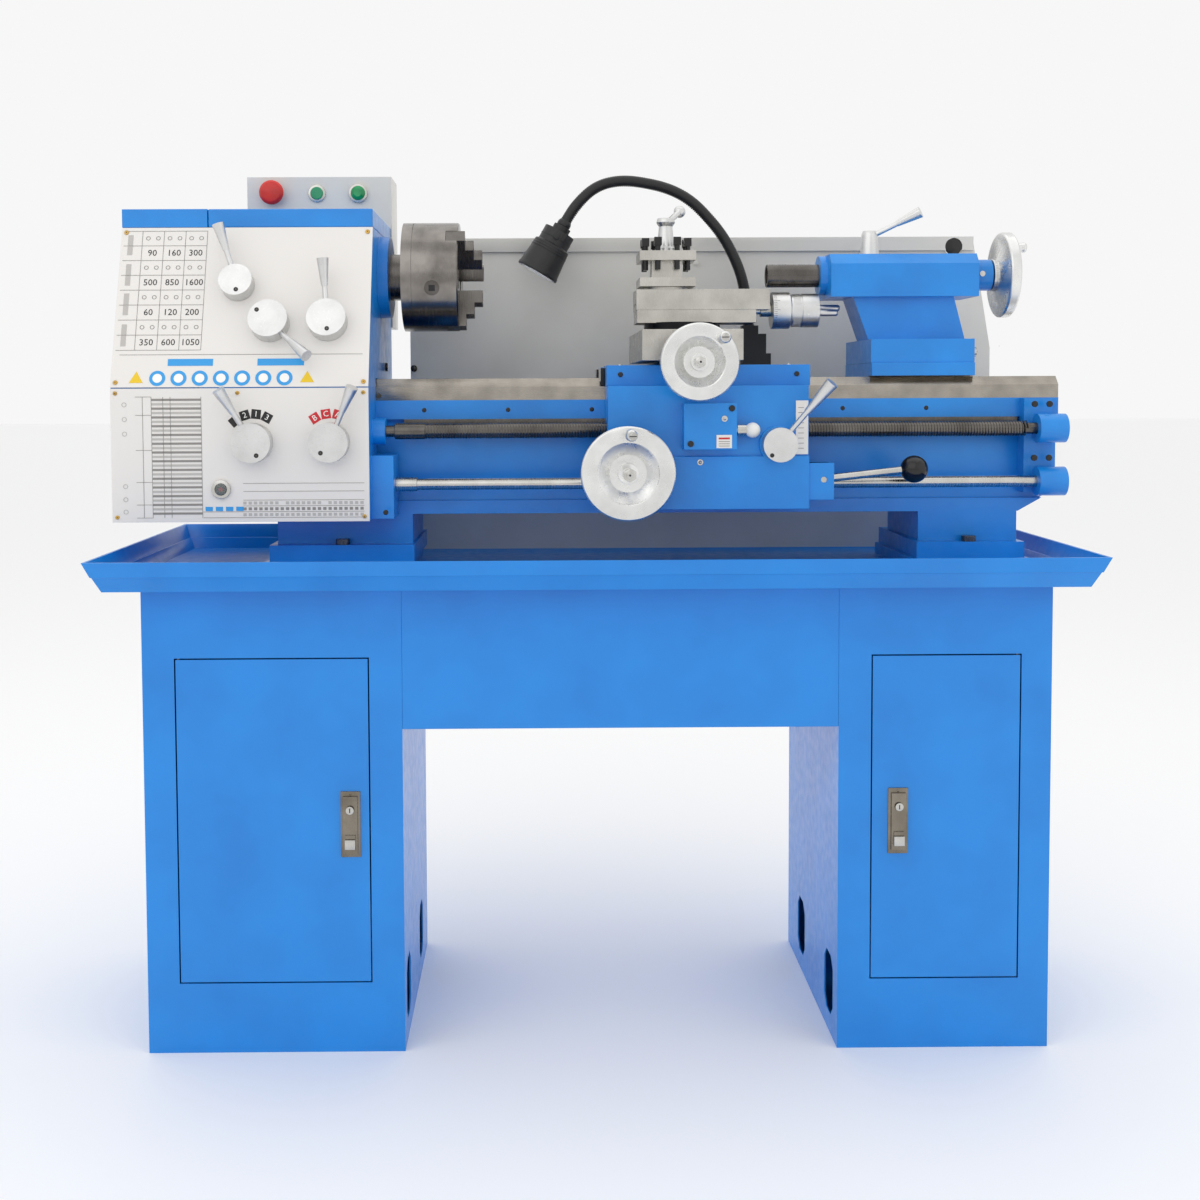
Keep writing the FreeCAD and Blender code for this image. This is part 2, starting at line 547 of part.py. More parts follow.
def lever(name, across, y, up, hub, direction, tilt, stem):
    """Disc hub with a stem behind it and a tapered grip standing out from its rim."""
    radians = direction / 57.29578
    lean = 18 / 57.29578
    flat = FreeCAD.Rotation(FreeCAD.Vector(0, 0, 1), direction)
    swing = flat.multiply(FreeCAD.Rotation(FreeCAD.Vector(0, 1, 0), 90 - 18))
    pieces = [rod(hub, "hub_tall - 0.3", 0, 0, 0.3), rod("lever_shaft", f"{stem} + 1", 0, 0, f"-({stem})")]
    for shape, near in ((rod("lever_shaft / 1.8", "lever_reach - 26", 0, 0, 0), "16"),
                        (cone("lever_shaft / 1.5", "lever_shaft + 1.5", "lever_reach - 26", 0, 0, 0),
                         "lever_reach - 15")):
        shape.Placement.Rotation = swing
        reach = swing.multVec(FreeCAD.Vector(0, 0, 1))
        for letter, factor, offset in (("x", reach.x, "0"), ("y", reach.y, "0"),
                                       ("z", reach.z, "hub_tall * 0.3")):
            shape.setExpression("Placement.Base." + letter,
                                bound(f"{offset} + {factor:.5f} * ({near})"))
        pieces.append(shape)
    handle = fuse(*pieces)
    place(handle, across, y, up, "-Y")
    if tilt:
        tilted(handle)
    finish(name, handle)


def levers():
    for name, (across, up, hub, direction) in HEAD_LEVERS.items():
        lever(name, across, face_y(up), up, hub, direction, True, "head_wall + 12")
    for name, (across, up, hub, direction) in FEED_LEVERS.items():
        lever(name, across, "axis_y - fascia_front", up, hub, direction, False, "head_wall + 4")


def feed_gearbox():
    front = "(axis_y - fascia_front + plate)"
    back = "(axis_y - bed_half - 1)"
    case = span("-head_seam", "-head_right", front, back, "fascia_base", "fascia_low - 1")
    block = span("-head_right - 1", "-head_right + gear_block_long", f"{front} + 22", back,
                 "fascia_base + 1", "feed_z + 42")
    boss = rod("collar_size + 7", "gear_block_long - 12", "-head_right - 1", SCREW, "screw_z", "X")
    hollow = span("-head_seam + head_wall", "-head_right - head_wall", f"{front} + head_wall",
                  f"{back} - head_wall", "fascia_base + head_wall", "fascia_low - head_wall")
    bores = [rod("journal + run_gap", "head_seam - head_right + gear_block_long + 10",
                 "-head_seam - 5", SCREW, "screw_z", "X"),
             rod("feed_size + run_gap", "gear_block_long + head_wall + 3", "-head_right - head_wall - 1", SCREW,
                 "feed_z", "X")]
    shafts = [rod("lever_shaft + run_gap", "head_wall + 10", across, f"{front} - 4", up, "Y")
              for across, up, _, _ in FEED_LEVERS.values()]
    finish("feed_gearbox", cut(fuse(case, block, boss), hollow, *bores, *shafts))

    face = span("-head_left", "-head_right", "axis_y - fascia_front", front, "fascia_base",
                "fascia_low - 1.5")
    holes = [rod("lever_shaft + 1", 20, across, f"{front} - 12", up, "Y")
             for across, up, _, _ in FEED_LEVERS.values()]
    finish("lower_fascia", cut(face, *holes))


def end_cover():
    """Swinging guard over the change gears and belt, open towards the headstock."""
    tail = "axis_y + motor_y + motor_size"
    back = "axis_y + head_back + 10"

    def wall_line(inset):
        return [(f"axis_y - head_front + plate + 1 + {inset}", f"head_top - {inset}"),
                (f"axis_y - head_front + plate + 1 + {inset}", f"{HEAD_SILL} - {inset} / 3"),
                (f"axis_y - fascia_front + plate + 1 + {inset}", f"fascia_low - {inset} / 3"),
                (f"axis_y - fascia_front + plate + 1 + {inset}", f"fascia_base + {inset}"),
                (f"{tail} - {inset}", f"fascia_base + {inset}"),
                (f"{tail} - {inset}", f"motor_z + 90 - {inset} / 2"),
                (f"{back} - {inset}", f"motor_z + 190 - {inset} / 2"),
                (f"{back} - {inset}", f"head_top - {inset}")]

    outer = plate(wall_line(0), "head_left - head_seam - cover_gap", "-head_left", 0, 0, "YZ_Plane")
    brow = span("-head_left", "-head_seam - cover_gap", "axis_y - head_front",
                "axis_y - head_front + 6", f"{HEAD_SILL} + 0.5", "head_top")
    inner = plate(wall_line(2), "head_left - head_seam", "-head_left + skin", 0, 0, "YZ_Plane")
    lugs = []
    for up in (HINGE_Z[0], HINGE_Z[2]):
        lugs.append(rod("hinge_out", "hinge_lug", HINGE_X, HINGE_Y, up))
        lugs.append(box("hinge_lug", "hinge_out + 1", "hinge_lug", f"{HINGE_X} - hinge_lug",
                        f"{HINGE_Y} - hinge_out - 1", up))
    pin = rod("pivot_pin + run_gap", "hinge_lug * 5", HINGE_X, HINGE_Y, "hinge_low - hinge_lug")
    finish("end_cover", cut(fuse(outer, brow, *lugs), inner, pin))


HINGE_X = "(-head_seam - cover_gap / 2)"
HINGE_Y = "(axis_y + motor_y + motor_size + hinge_out)"
HINGE_Z = ["hinge_low", "hinge_low + hinge_lug", "hinge_low + hinge_lug * 2"]


def spindle_line():
    body = turned([("spindle_bore", 0), ("spindle_size", 0), ("spindle_size", "gear_plane - head_right + cap_long + 30"),
                   ("nose_size", "gear_plane - head_right + cap_long + 30"),
                   ("nose_size", "gear_plane - head_right + cap_long + nose_long + 30"),
                   ("spindle_bore", "gear_plane - head_right + cap_long + nose_long + 30")],
                  "-gear_plane - 30", "axis_y", "axis_z", "X")
    wheel = toothed(number("mandrel_gear"), 30, number("spindle_size"), number("gear_thick"))
    place(wheel, "-gear_plane", "axis_y", "axis_z", "X")
    finish("spindle", fuse(body, wheel))

    face = "(-head_right + cap_long + nose_long)"
    groove = "chuck_back - 1"
    body = turned([("chuck_bore", 0), ("chuck_size", 0), ("chuck_size", groove),
                   ("chuck_size - 2", groove), ("chuck_size - 2", "chuck_back"),
                   ("chuck_size", "chuck_back"), ("chuck_size", "chuck_long - 2"),
                   ("chuck_size - 2", "chuck_long"), ("chuck_bore", "chuck_long")],
                  face, "axis_y", "axis_z", "X")
    cuts = []
    for index, angle in enumerate((45, 165, 285)):
        spin = FreeCAD.Rotation(FreeCAD.Vector(1, 0, 0), angle)
        up = spin.multVec(FreeCAD.Vector(0, 0, 1))
        key = FreeCAD.Rotation(FreeCAD.Vector(1, 0, 0), angle + 60)
        key_up = key.multVec(FreeCAD.Vector(0, 0, 1))
        slot = plate([("chuck_long - jaw_sink", "chuck_bore - 4"), ("chuck_long + 1", "chuck_bore - 4"),
                      ("chuck_long + 1", "chuck_size + 4"), ("chuck_long - jaw_sink", "chuck_size + 4")],
                     "jaw_wide + run_gap * 2", face, "axis_y", "axis_z", "XZ_Plane", spin, True)
        socket = rod(5, 22, f"{face} + chuck_long / 2 + 4", f"axis_y + {key_up.y:.5f} * (chuck_size - 20)",
                     f"axis_z + {key_up.z:.5f} * (chuck_size - 20)", key)
        jaw = plate([("0", "jaw_start"), ("jaw_sink + jaw_out", "jaw_start"),
                     ("jaw_sink + jaw_out", "jaw_start + 19"), ("jaw_sink + jaw_out - 12", "jaw_start + 19"),
                     ("jaw_sink + jaw_out - 12", "jaw_start + 37"),
                     ("jaw_sink + jaw_out - 24", "jaw_start + 37"),
                     ("jaw_sink + jaw_out - 24", "chuck_size - 1"), ("0", "chuck_size - 1")],
                    "jaw_wide", f"{face} + chuck_long - jaw_sink", "axis_y", "axis_z", "XZ_Plane", spin, True)
        cuts += [slot, socket]
        finish(f"chuck_jaw_{index + 1}", jaw)
    finish("chuck_body", cut(body, *cuts))


def electrical_box():
    front = "(axis_y + head_back)"
    shell = span("-box_left", "-box_right", front, f"{front} + box_deep", "box_low", "box_top")
    hollow = span("-box_left + skin", "-box_right - skin", f"{front} + skin",
                  f"{front} + box_deep - skin", "box_low + skin", "box_top - skin")
    stop_x = "(-box_left + 41)"
    start_x = "(-box_left + 110)"
    up = "box_top - button_z"
    holes = [rod("8 + run_gap", "skin * 3", stop_x, f"{front} - skin", up, "Y"),
             rod("start_size - 3 + run_gap", "skin * 3", start_x, f"{front} - skin", up, "Y")]
    gland = rod(9, 14, "-box_left + 40", f"{front} + box_deep / 2", "box_low - 14")
    finish("electrical_box", cut(fuse(shell, gland), hollow, *holes))
    finish("stop_button", turned([("0", -14), ("8", -14), ("8", 10), ("stop_size - 3", 12),
                                  ("stop_size", 15), ("stop_size", 20), ("stop_size - 4", 24),
                                  ("0", 25)], stop_x, front, up, "-Y"))
    finish("start_button", turned([("0", -12), ("start_size - 3", -12), ("start_size - 3", 6),
                                   ("start_size - 4", 7), ("0", 7)], start_x, front, up, "-Y"))


def splash_guard():
    y = "(axis_y + guard_front)"
    panel = plate([("-guard_left", "guard_low"), ("guard_right - 2", "guard_low"),
                   ("guard_right + guard_slant", "guard_low + 60"),
                   ("guard_right + guard_slant", "guard_top - 180"), ("guard_right", "guard_top"),
                   ("-guard_left", "guard_top")], "skin", 0, f"{y} + skin", 0, "XZ_Plane")
    lip = span("-guard_left", "guard_right", f"{y} - 6", f"{y} + 1", "guard_top - 22", "guard_top")
    foot = span("-guard_left", "guard_right - 2", y, f"{y} + flange", "guard_low", "guard_low + skin")
    hole = rod("guard_hole", 30, "guard_right - 32", f"{y} - 20", "guard_top - 16", "Y")
    finish("splash_guard", cut(fuse(panel, lip, foot), hole))


def drive():
    middle_y = "(axis_y + motor_y)"
    start = "-head_seam + 20"
    can = rod("motor_size", "motor_long", start, middle_y, "motor_z", "X")
    bracket = span(f"{start} + 30", f"{start} + motor_long - 30", "axis_y + bed_half",
                   f"{middle_y} - motor_size + 8", "bed_low + 4", "motor_z + 40")
    hole = rod("journal + 4 + run_gap", 40, f"{start} - 5", middle_y, "motor_z", "X")
    arm = span(HINGE_X, f"{start} + 6", f"{HINGE_Y} - hinge_out * 4", f"{HINGE_Y} - hinge_out / 2",
               HINGE_Z[1], HINGE_Z[2])
    knuckle = rod("hinge_out", "hinge_lug", HINGE_X, HINGE_Y, HINGE_Z[1])
    pin = rod("pivot_pin", "hinge_lug * 3", HINGE_X, HINGE_Y, HINGE_Z[0])
    notch = span(f"{HINGE_X} - 30", f"{HINGE_X} + 0.5", "axis_y", f"{HINGE_Y} - hinge_out - 0.5",
                 "hinge_low", "hinge_low + hinge_lug * 3")
    finish("main_motor", cut(fuse(can, bracket, cut(arm, notch), knuckle), hole, pin))
    plane = "(-belt_plane - belt_wide / 2)"
    shaft = rod("journal + 4", f"{start} + 30 - {plane}", plane, middle_y, "motor_z", "X")
    finish("motor_pulley", fuse(shaft, rod("motor_pulley_size", "belt_wide", plane, middle_y,
                                           "motor_z", "X")))
    axle = rod("journal + 2", f"-head_seam + head_wall - {plane}", plane, "axis_y + input_y", "input_z", "X")
    finish("input_pulley", fuse(axle, rod("input_size", "belt_wide", plane, "axis_y + input_y",
                                          "input_z", "X")))
    small = number("motor_pulley_size + belt_gap")
    large = number("input_size + belt_gap")
    low = FreeCAD.Vector(number("motor_y"), number("motor_z"), 0)
    high = FreeCAD.Vector(number("input_y"), number("input_z"), 0)

    def loop(extra):
        """Face bounded by the two pulleys' outer tangents, grown by extra."""
        line = high - low
        lean = FreeCAD.Vector(line.x, line.y, 0).normalize()
        side = FreeCAD.Vector(-lean.y, lean.x, 0)
        sine = (large - small) / line.Length
        cosine = (1 - sine ** 2) ** 0.5
        ends = []
        for sign in (1, -1):
            normal = side * (sign * cosine) - lean * sine
            ends.append((low + normal * (small + extra), high + normal * (large + extra)))
        back = Part.Arc(ends[0][0], low - lean * (small + extra), ends[1][0]).toShape()
        fore = Part.Arc(ends[1][1], high + lean * (large + extra), ends[0][1]).toShape()
        sides = [Part.makeLine(*ends[0]), Part.makeLine(*ends[1])]
        return Part.Face(Part.Wire(Part.__sortEdges__([back, fore] + sides)))

    wide = FreeCAD.Vector(0, 0, number("belt_wide") - 2)
    band = loop(number("belt_thick")).extrude(wide).cut(loop(0).extrude(wide))
    belt = feature(band)
    upright = FreeCAD.Rotation(FreeCAD.Vector(0, 1, 0), FreeCAD.Vector(0, 0, 1),
                               FreeCAD.Vector(1, 0, 0), "XYZ")
    finish("drive_belt", place(belt, f"{plane} + 1", "axis_y", 0, upright))


def idler():
    """Wheel that joins the spindle's gear to the one on the leadscrew."""
    wheel = toothed(number("idler_size"), 94, number("journal + run_gap"), number("gear_thick"))
    finish("idler_gear", place(wheel, "-gear_plane", IDLER_Y, IDLER_UP, "X"))


headstock()
levers()
feed_gearbox()
end_cover()
spindle_line()
electrical_box()
splash_guard()
drive()
idler()

# ---- carriage ----------------------------------------------------------
SADDLE_TOP = "(way_z + saddle_tall)"
APRON = "(axis_y - carriage_apron_front)"
APRON_BACK = "(axis_y - bed_half - 3)"
CROSS_TOP = "(way_z + saddle_tall + cross_rise + cross_slide_tall)"
TOP_Y = "(axis_y - compound_y)"
BASE_TOP = f"({CROSS_TOP} + swivel_tall + top_base_tall)"
SLIDE_TOP = f"({BASE_TOP} + top_tall)"
POST_LOW = f"({SLIDE_TOP} + post_lift)"


def dovetail(half, flare, tall, low, grow):
    """Cross-section of a dovetail, wider at its top."""
    return [(f"-({half}) - {grow}", low), (f"-({half}) - ({flare}) - {grow}", f"{low} + {tall} + {grow}"),
            (f"({half}) + ({flare}) + {grow}", f"{low} + {tall} + {grow}"), (f"({half}) + {grow}", low)]


def shifted(points, across):
    return [(f"({across}) + {left}", up) for left, up in points]


def saddle():
    right = "saddle_left + saddle_long"
    front = "(axis_y - saddle_front)"
    back = "(axis_y + saddle_back)"
    wings = [span("saddle_left", right, front, f"{front} + wing_deep", "way_z", SADDLE_TOP),
             span("saddle_left", right, f"{back} - wing_deep", back, "way_z", SADDLE_TOP)]
    bridge = span("bridge_left", "bridge_right", front, back, "way_z", SADDLE_TOP)
    way = plate(shifted(dovetail("dove_half", "dove_flare", "dove_tall", f"{SADDLE_TOP} - 0.5", 0),
                        "cross_x"), "saddle_front + saddle_back", 0, back, 0, "XZ_Plane")
    nose = span("cross_x - dove_half + 10", "cross_x + dove_half - 10", f"{front} - 24", f"{front} + 1",
                f"{SADDLE_TOP} - 20", f"{SADDLE_TOP} + dove_tall - 1")
    channel = span("cross_x - 14", "cross_x + 14", f"{front} + 12", f"{back} + 1", "cross_z - 14",
                   f"{SADDLE_TOP} + dove_tall + 1")
    bore = rod("screw_shaft + run_gap", 60, "cross_x", f"{front} - 26", "cross_z", "Y")
    vees = [span("saddle_left - 1", f"{right} + 1", f"axis_y + {low}", f"axis_y + {high}",
                 "way_z - 1", "way_z + vee_rise + 1")
            for low, high in (("(-bed_half - 1)", "(-bed_half + vee_rise * 2 + 1)"),
                              ("(bed_half - vee_rise * 2 - 1)", "(bed_half + 1)"))]
    finish("saddle", cut(fuse(*wings, bridge, way, nose), channel, bore, *vees))


def apron():
    right = "(saddle_left + apron_long)"
    low = "(way_z - apron_tall)"
    case = span("saddle_left", right, APRON, APRON_BACK, low, "way_z")
    hollow = span("saddle_left + apron_wall", f"{right} - apron_wall", f"{APRON} + apron_wall + ledge",
                  f"{APRON_BACK} + 1", f"{low} + apron_wall", "way_z - apron_wall")
    ledge = span("saddle_left - 1", f"{right} + 1", f"{APRON} - 1", f"{APRON} + ledge", "ledge_z",
                 "way_z + 1")
    block = span("gear_block_left", "gear_block_left + gear_block_wide", f"{APRON} - gear_block_deep + ledge",
                 f"{APRON} + ledge + 1", "gear_block_low", "gear_block_high")
    boss = rod("half_nut_hub + 2", "ledge + 1", "half_nut_x", APRON, "half_nut_z", "Y")
    slot = span("gear_block_left + gear_block_wide - 26", "gear_block_left + gear_block_wide + 1",
                f"{APRON} - 14", f"{APRON} + 2", "select_z - 15", "select_z + 15")
    fork = span(f"{right} - 1", "control_x", f"{APRON} + 4", f"{APRON} + 36", "control_z - 32",
                "control_z + 19")
    gap = span(f"{right} + 1", "control_x + 1", f"{APRON} + 13", f"{APRON} + 27", "control_z - 22",
               "control_z + 20")
    holes = [rod("screw_size + 3", 400, "saddle_left - 10", SCREW, "screw_z", "X"),
             rod("feed_size + 3", 400, "saddle_left - 10", SCREW, "feed_z", "X"),
             rod("9 + run_gap", "apron_wall + ledge + 4", "wheel_x", f"{APRON} - 2", "wheel_z", "Y"),
             rod("stud_size + run_gap", "apron_wall + ledge + 8", "half_nut_x", f"{APRON} - 2",
                 "half_nut_z", "Y"),
             rod("4 + run_gap", 34, "select_x - 38", f"{APRON} - 17", "select_z", "Y"),
             rod("4 + run_gap", 40, "control_x - 14", f"{APRON} + 2", "control_z - 4", "Y")]
    finish("apron", cut(fuse(cut(case, hollow, ledge), block, boss, fork), gap, slot, *holes))


def wheel(name, radius, hub, depth, shaft, reach, grip, angle, x, y, z, along):
    """Dished handwheel: shaft behind, plain rim, revolving grip near the rim."""
    rim = "rim_deep"
    shape = [("0", f"-({reach})"), (shaft, f"-({reach})"), (shaft, 0.3), (hub, 0.3),
             (hub, f"{depth} - {rim} * 1.5"), (f"{radius} * 0.7", f"{depth} - {rim}"),
             (f"{radius} - 2", f"{depth} - {rim}"), (radius, f"{depth} - {rim} + 2"),
             (radius, f"{depth} - 2"), (f"{radius} - 2", depth), (f"{radius} * 0.66", depth),
             (f"{radius} * 0.62", f"{depth} - 2"), (f"{radius} * 0.4", f"{depth} - {rim} * 0.75"),
             (f"{radius} * 0.22", f"{depth} - {rim} * 0.75"), (f"{radius} * 0.22", f"{depth} - 2"),
             (f"{radius} * 0.12", f"{depth} - 2"), (f"{radius} * 0.12", f"{depth} + 3"), ("0", f"{depth} + 3")]
    disc = turned(shape, 0, 0, 0)
    spot = FreeCAD.Rotation(FreeCAD.Vector(0, 0, 1), angle).multVec(FreeCAD.Vector(1, 0, 0))
    handle = turned([("0", f"{depth} - 4"), ("4", f"{depth} - 4"), ("4", f"{depth} + 2"),
                     ("grip_size - 1.5", f"{depth} + 3"), ("grip_size", f"{depth} + {grip} * 0.3"),
                     ("grip_size - 1", f"{depth} + {grip} * 0.75"), ("grip_size", f"{depth} + {grip} - 3"),
                     ("grip_size - 2", f"{depth} + {grip}"), ("0", f"{depth} + {grip}")],
                    f"{spot.x:.5f} * {radius} * 0.82", f"{spot.y:.5f} * {radius} * 0.82", 0)
    return finish(name, place(fuse(disc, handle), x, y, z, along))


def apron_controls():
    wheel("apron_handwheel", "wheel_size", "20", "(wheel_front - carriage_apron_front)", "9",
          "apron_wall + ledge + 6", "wheel_grip", 88, "wheel_x", APRON, "wheel_z", "-Y")
    face = APRON
    hub = fuse(rod("half_nut_hub", "hub_tall", 0, 0, 0.3),
               rod("stud_size", "apron_wall + 18", 0, 0, "-apron_wall - 17"))
    lean = FreeCAD.Rotation(FreeCAD.Vector(0, 0, 1), 52).multiply(FreeCAD.Rotation(FreeCAD.Vector(0, 1, 0), 72))
    reach = lean.multVec(FreeCAD.Vector(0, 0, 1))
    arms = []
    for shape, near in ((rod("lever_shaft / 1.8", 50, 0, 0, 0), 14),
                        (cone("lever_shaft / 1.5", "lever_shaft + 2", 52, 0, 0, 0), 60)):
        shape.Placement.Rotation = lean
        for letter, factor, offset in (("x", reach.x, "0"), ("y", reach.y, "0"), ("z", reach.z, "hub_tall * 0.3")):
            shape.setExpression("Placement.Base." + letter, bound(f"{offset} + {factor * near:.4f}"))
        arms.append(shape)
    finish("half_nut_lever", place(fuse(hub, *arms), "half_nut_x", face, "half_nut_z", "-Y"))
    tongue = fuse(rod(4, 30, "select_x - 38", f"{APRON} - 16", "select_z", "Y"),
                  rod(9, 8, "select_x - 38", f"{APRON} - 10", "select_z", "Y"),
                  rod(4.5, 40, "select_x - 38", f"{APRON} - 6", "select_z", "X"),
                  rod(8, 12, "select_x - 19", f"{APRON} - 6", "select_z", "X"),
                  ball(10.5, "select_x + 2", f"{APRON} - 6", "select_z"))
    finish("feed_selector", tongue)
    lift = FreeCAD.Rotation(FreeCAD.Vector(0, 1, 0), 84)
    stem = rod("control_size", 128, "control_x - 14", f"{APRON} + 20", "control_z - 4")
    stem.Placement.Rotation = lift
    arm = fuse(rod(4, 30, "control_x - 14", f"{APRON} + 5", "control_z - 4", "Y"),
               rod(9, 12, "control_x - 14", f"{APRON} + 14", "control_z - 4", "Y"), stem,
               ball("control_ball", "control_x + 114", f"{APRON} + 20", "control_z + 9"))
    finish("control_lever", arm)


def cross_slide():
    front = "(axis_y - cross_nose)"
    back = "(axis_y + cross_back)"
    low = f"({SADDLE_TOP} + cross_rise)"
    lump = span("cross_x - cross_half", "cross_x + cross_half", front, back, low, CROSS_TOP)
    way = plate(shifted(dovetail("dove_half", "dove_flare", "dove_tall", f"{SADDLE_TOP} - 0.5",
                                 "dove_gap"), "cross_x"), "cross_nose + cross_back + 2", 0,
                f"{back} + 1", 0, "XZ_Plane")
    nut = span("cross_x - 13", "cross_x + 13", "axis_y - 20", "axis_y + 10", "cross_z - 12",
               f"{low} + dove_tall")
    screw = rod("screw_shaft + run_gap", 60, "cross_x", "axis_y - 30", "cross_z", "Y")
    finish("cross_slide", cut(fuse(cut(lump, way), nut), screw))
    wheel("cross_handwheel", "cross_size", "16", "(cross_front - saddle_front - 24)", "screw_shaft",
          "saddle_front + saddle_back", "cross_grip", 47, "cross_x",
          "axis_y - saddle_front - 24", "cross_z", "-Y")


def compound():
    ring = rod("swivel_size", "swivel_tall + 1", "compound_x", TOP_Y, CROSS_TOP)
    lump = span("top_base_left", "top_base_right", f"{TOP_Y} - top_half", f"{TOP_Y} + top_half",
                f"{CROSS_TOP} + swivel_tall", BASE_TOP)
    way = plate(shifted(dovetail("20", "6", "10", f"{BASE_TOP} - 0.5", 0), TOP_Y),
                "top_base_right - top_base_left - 22", "top_base_left", 0, 0, "YZ_Plane")
    channel = span("top_base_left - 1", "top_base_right + 1", f"{TOP_Y} - 10", f"{TOP_Y} + 10",
                   f"{BASE_TOP} - 11", f"{BASE_TOP} + 12")
    nut = span("compound_x + 10", "compound_x + 30", f"{TOP_Y} - 10", f"{TOP_Y} + 10",
               f"{BASE_TOP} - 11", f"{BASE_TOP} + 9")
    screw = rod("crank_shaft + run_gap", 40, "compound_x + 5", TOP_Y, BASE_TOP, "X")
    finish("compound_base", cut(fuse(cut(fuse(ring, lump, way), channel), nut), screw))

    block = span("top_left", "top_right", f"{TOP_Y} - top_half", f"{TOP_Y} + top_half", BASE_TOP,
                 SLIDE_TOP)
    groove = plate(shifted(dovetail("20", "6", "10", f"{BASE_TOP} - 0.5", "dove_gap"), TOP_Y),
                   "top_right - top_left - 12", "top_left - 1", 0, 0, "YZ_Plane")
    screw_way = span("top_left + 8", "top_right - 10", f"{TOP_Y} - 8", f"{TOP_Y} + 8",
                     f"{BASE_TOP} - 1", f"{BASE_TOP} + 11")
    boss = rod(9, 16, "top_right - 9", TOP_Y, BASE_TOP, "X")
    bore = rod("crank_shaft + run_gap", 60, "top_right - 30", TOP_Y, BASE_TOP, "X")
    seat = rod("post_half - 8", "post_lift + 1", "post_x", TOP_Y, f"{SLIDE_TOP} - 1")
    stud = rod("stud_size", "post_base + post_waist + post_cap + 30", "post_x", TOP_Y, f"{POST_LOW} - 1")
    finish("compound_slide", cut(fuse(cut(block, groove, screw_way), boss, seat, stud), bore))

    dial = turned([("0", "-150"), ("crank_shaft", "-150"), ("crank_shaft", "0.3"), ("dial_size", "0.3"),
                   ("dial_size", "dial_long * 0.6"), ("dial_size - 3", "dial_long * 0.6 + 2"),
                   ("dial_size - 3", "dial_long"), ("crank_hub", "dial_long"), ("crank_hub", "dial_long + 25"),
                   ("0", "dial_long + 25")], 0, 0, 0)
    grips = []
    for side, long in ((1, 34), (-1, 27)):
        grips.append(turned([("0", "dial_long + 22"), ("3.5", "dial_long + 22"), ("5", "dial_long + 30"),
                             ("5", f"dial_long + {long} + 24"), ("3.5", f"dial_long + {long} + 26"),
                             ("0", f"dial_long + {long} + 26")], f"{-side * 4}", f"{side * 10.5}", 0))
    finish("compound_crank", place(fuse(dial, *grips), "crank_x", TOP_Y, BASE_TOP, "X"))


def toolpost():
    def square(half, low, tall):
        return span(f"post_x - {half}", f"post_x + {half}", f"{TOP_Y} - {half}", f"{TOP_Y} + {half}",
                    low, f"{low} + {tall}")

    waist = f"({POST_LOW} + post_base)"
    cap = f"({waist} + post_waist)"
    block = fuse(square("post_half", POST_LOW, "post_base + 1"), square("post_neck", waist, "post_waist + 1"),
                 square("post_half", cap, "post_cap"))
    bore = rod("stud_size + run_gap", 80, "post_x", TOP_Y, f"{POST_LOW} - 5")
    screws, holes = [], []
    for across, back in ((-14, -31), (14, -31), (-14, 31), (14, 31), (-31, -14), (-31, 14), (31, -14), (31, 14)):
        x, y = f"post_x + {across}", f"{TOP_Y} + {back}"
        holes.append(rod("4 + run_gap", "post_cap + 4", x, y, f"{cap} - 2"))
        screws.append(fuse(rod(4, "post_cap + 22", x, y, f"{cap} - 13"),
                           box(11, 11, 12, f"{x} - 5.5", f"{y} - 5.5", f"{cap} + post_cap + 8")))
    finish("toolpost", cut(block, bore, *holes))
    finish("toolpost_screws", group(*screws))
    top = f"({cap} + post_cap)"
    hub = turned([("stud_size + run_gap", "0"), ("16", "0"), ("16", "6"), ("13", "8"), ("10", "38"),
                  ("14", "44"), ("12", "50"), ("0", "51"), ("0", "34"), ("stud_size + run_gap", "34")],
                 "post_x", TOP_Y, f"{top} + 0.3")
    swing = FreeCAD.Rotation(FreeCAD.Vector(0, 0, 1), 65).multiply(FreeCAD.Rotation(FreeCAD.Vector(0, 1, 0), 68))
    reach = swing.multVec(FreeCAD.Vector(0, 0, 1))
    arm = rod(4.5, 62, "post_x", TOP_Y, f"{top} + 42")
    arm.Placement.Rotation = swing
    knob = ball(9, f"post_x + {reach.x * 66:.3f}", f"{TOP_Y} + {reach.y * 66:.3f}",
                f"{top} + 42 + {reach.z * 66:.3f}")
    finish("toolpost_lever", fuse(hub, arm, knob))


def rounded_path(points):
    """Straight runs joined by arcs as large as the runs allow."""
    edges = []
    begin = points[0]
    for before, corner, after in zip(points, points[1:], points[2:]):
        arrive = (corner - before)
        leave = (after - corner)
        turn = arrive.getAngle(leave)
        back = 0.45 * min(arrive.Length, leave.Length)
        start = corner - arrive.normalize() * back
        end = corner + leave.normalize() * back
        bisect = (leave - arrive).normalize()
        radius = back / math.tan(turn / 2)
        middle = corner + bisect * (radius / math.cos(turn / 2) - radius)
        edges += [Part.LineSegment(begin, start).toShape(), Part.Arc(start, middle, end).toShape()]
        begin = end
    edges.append(Part.LineSegment(begin, points[-1]).toShape())
    return Part.Wire(edges)


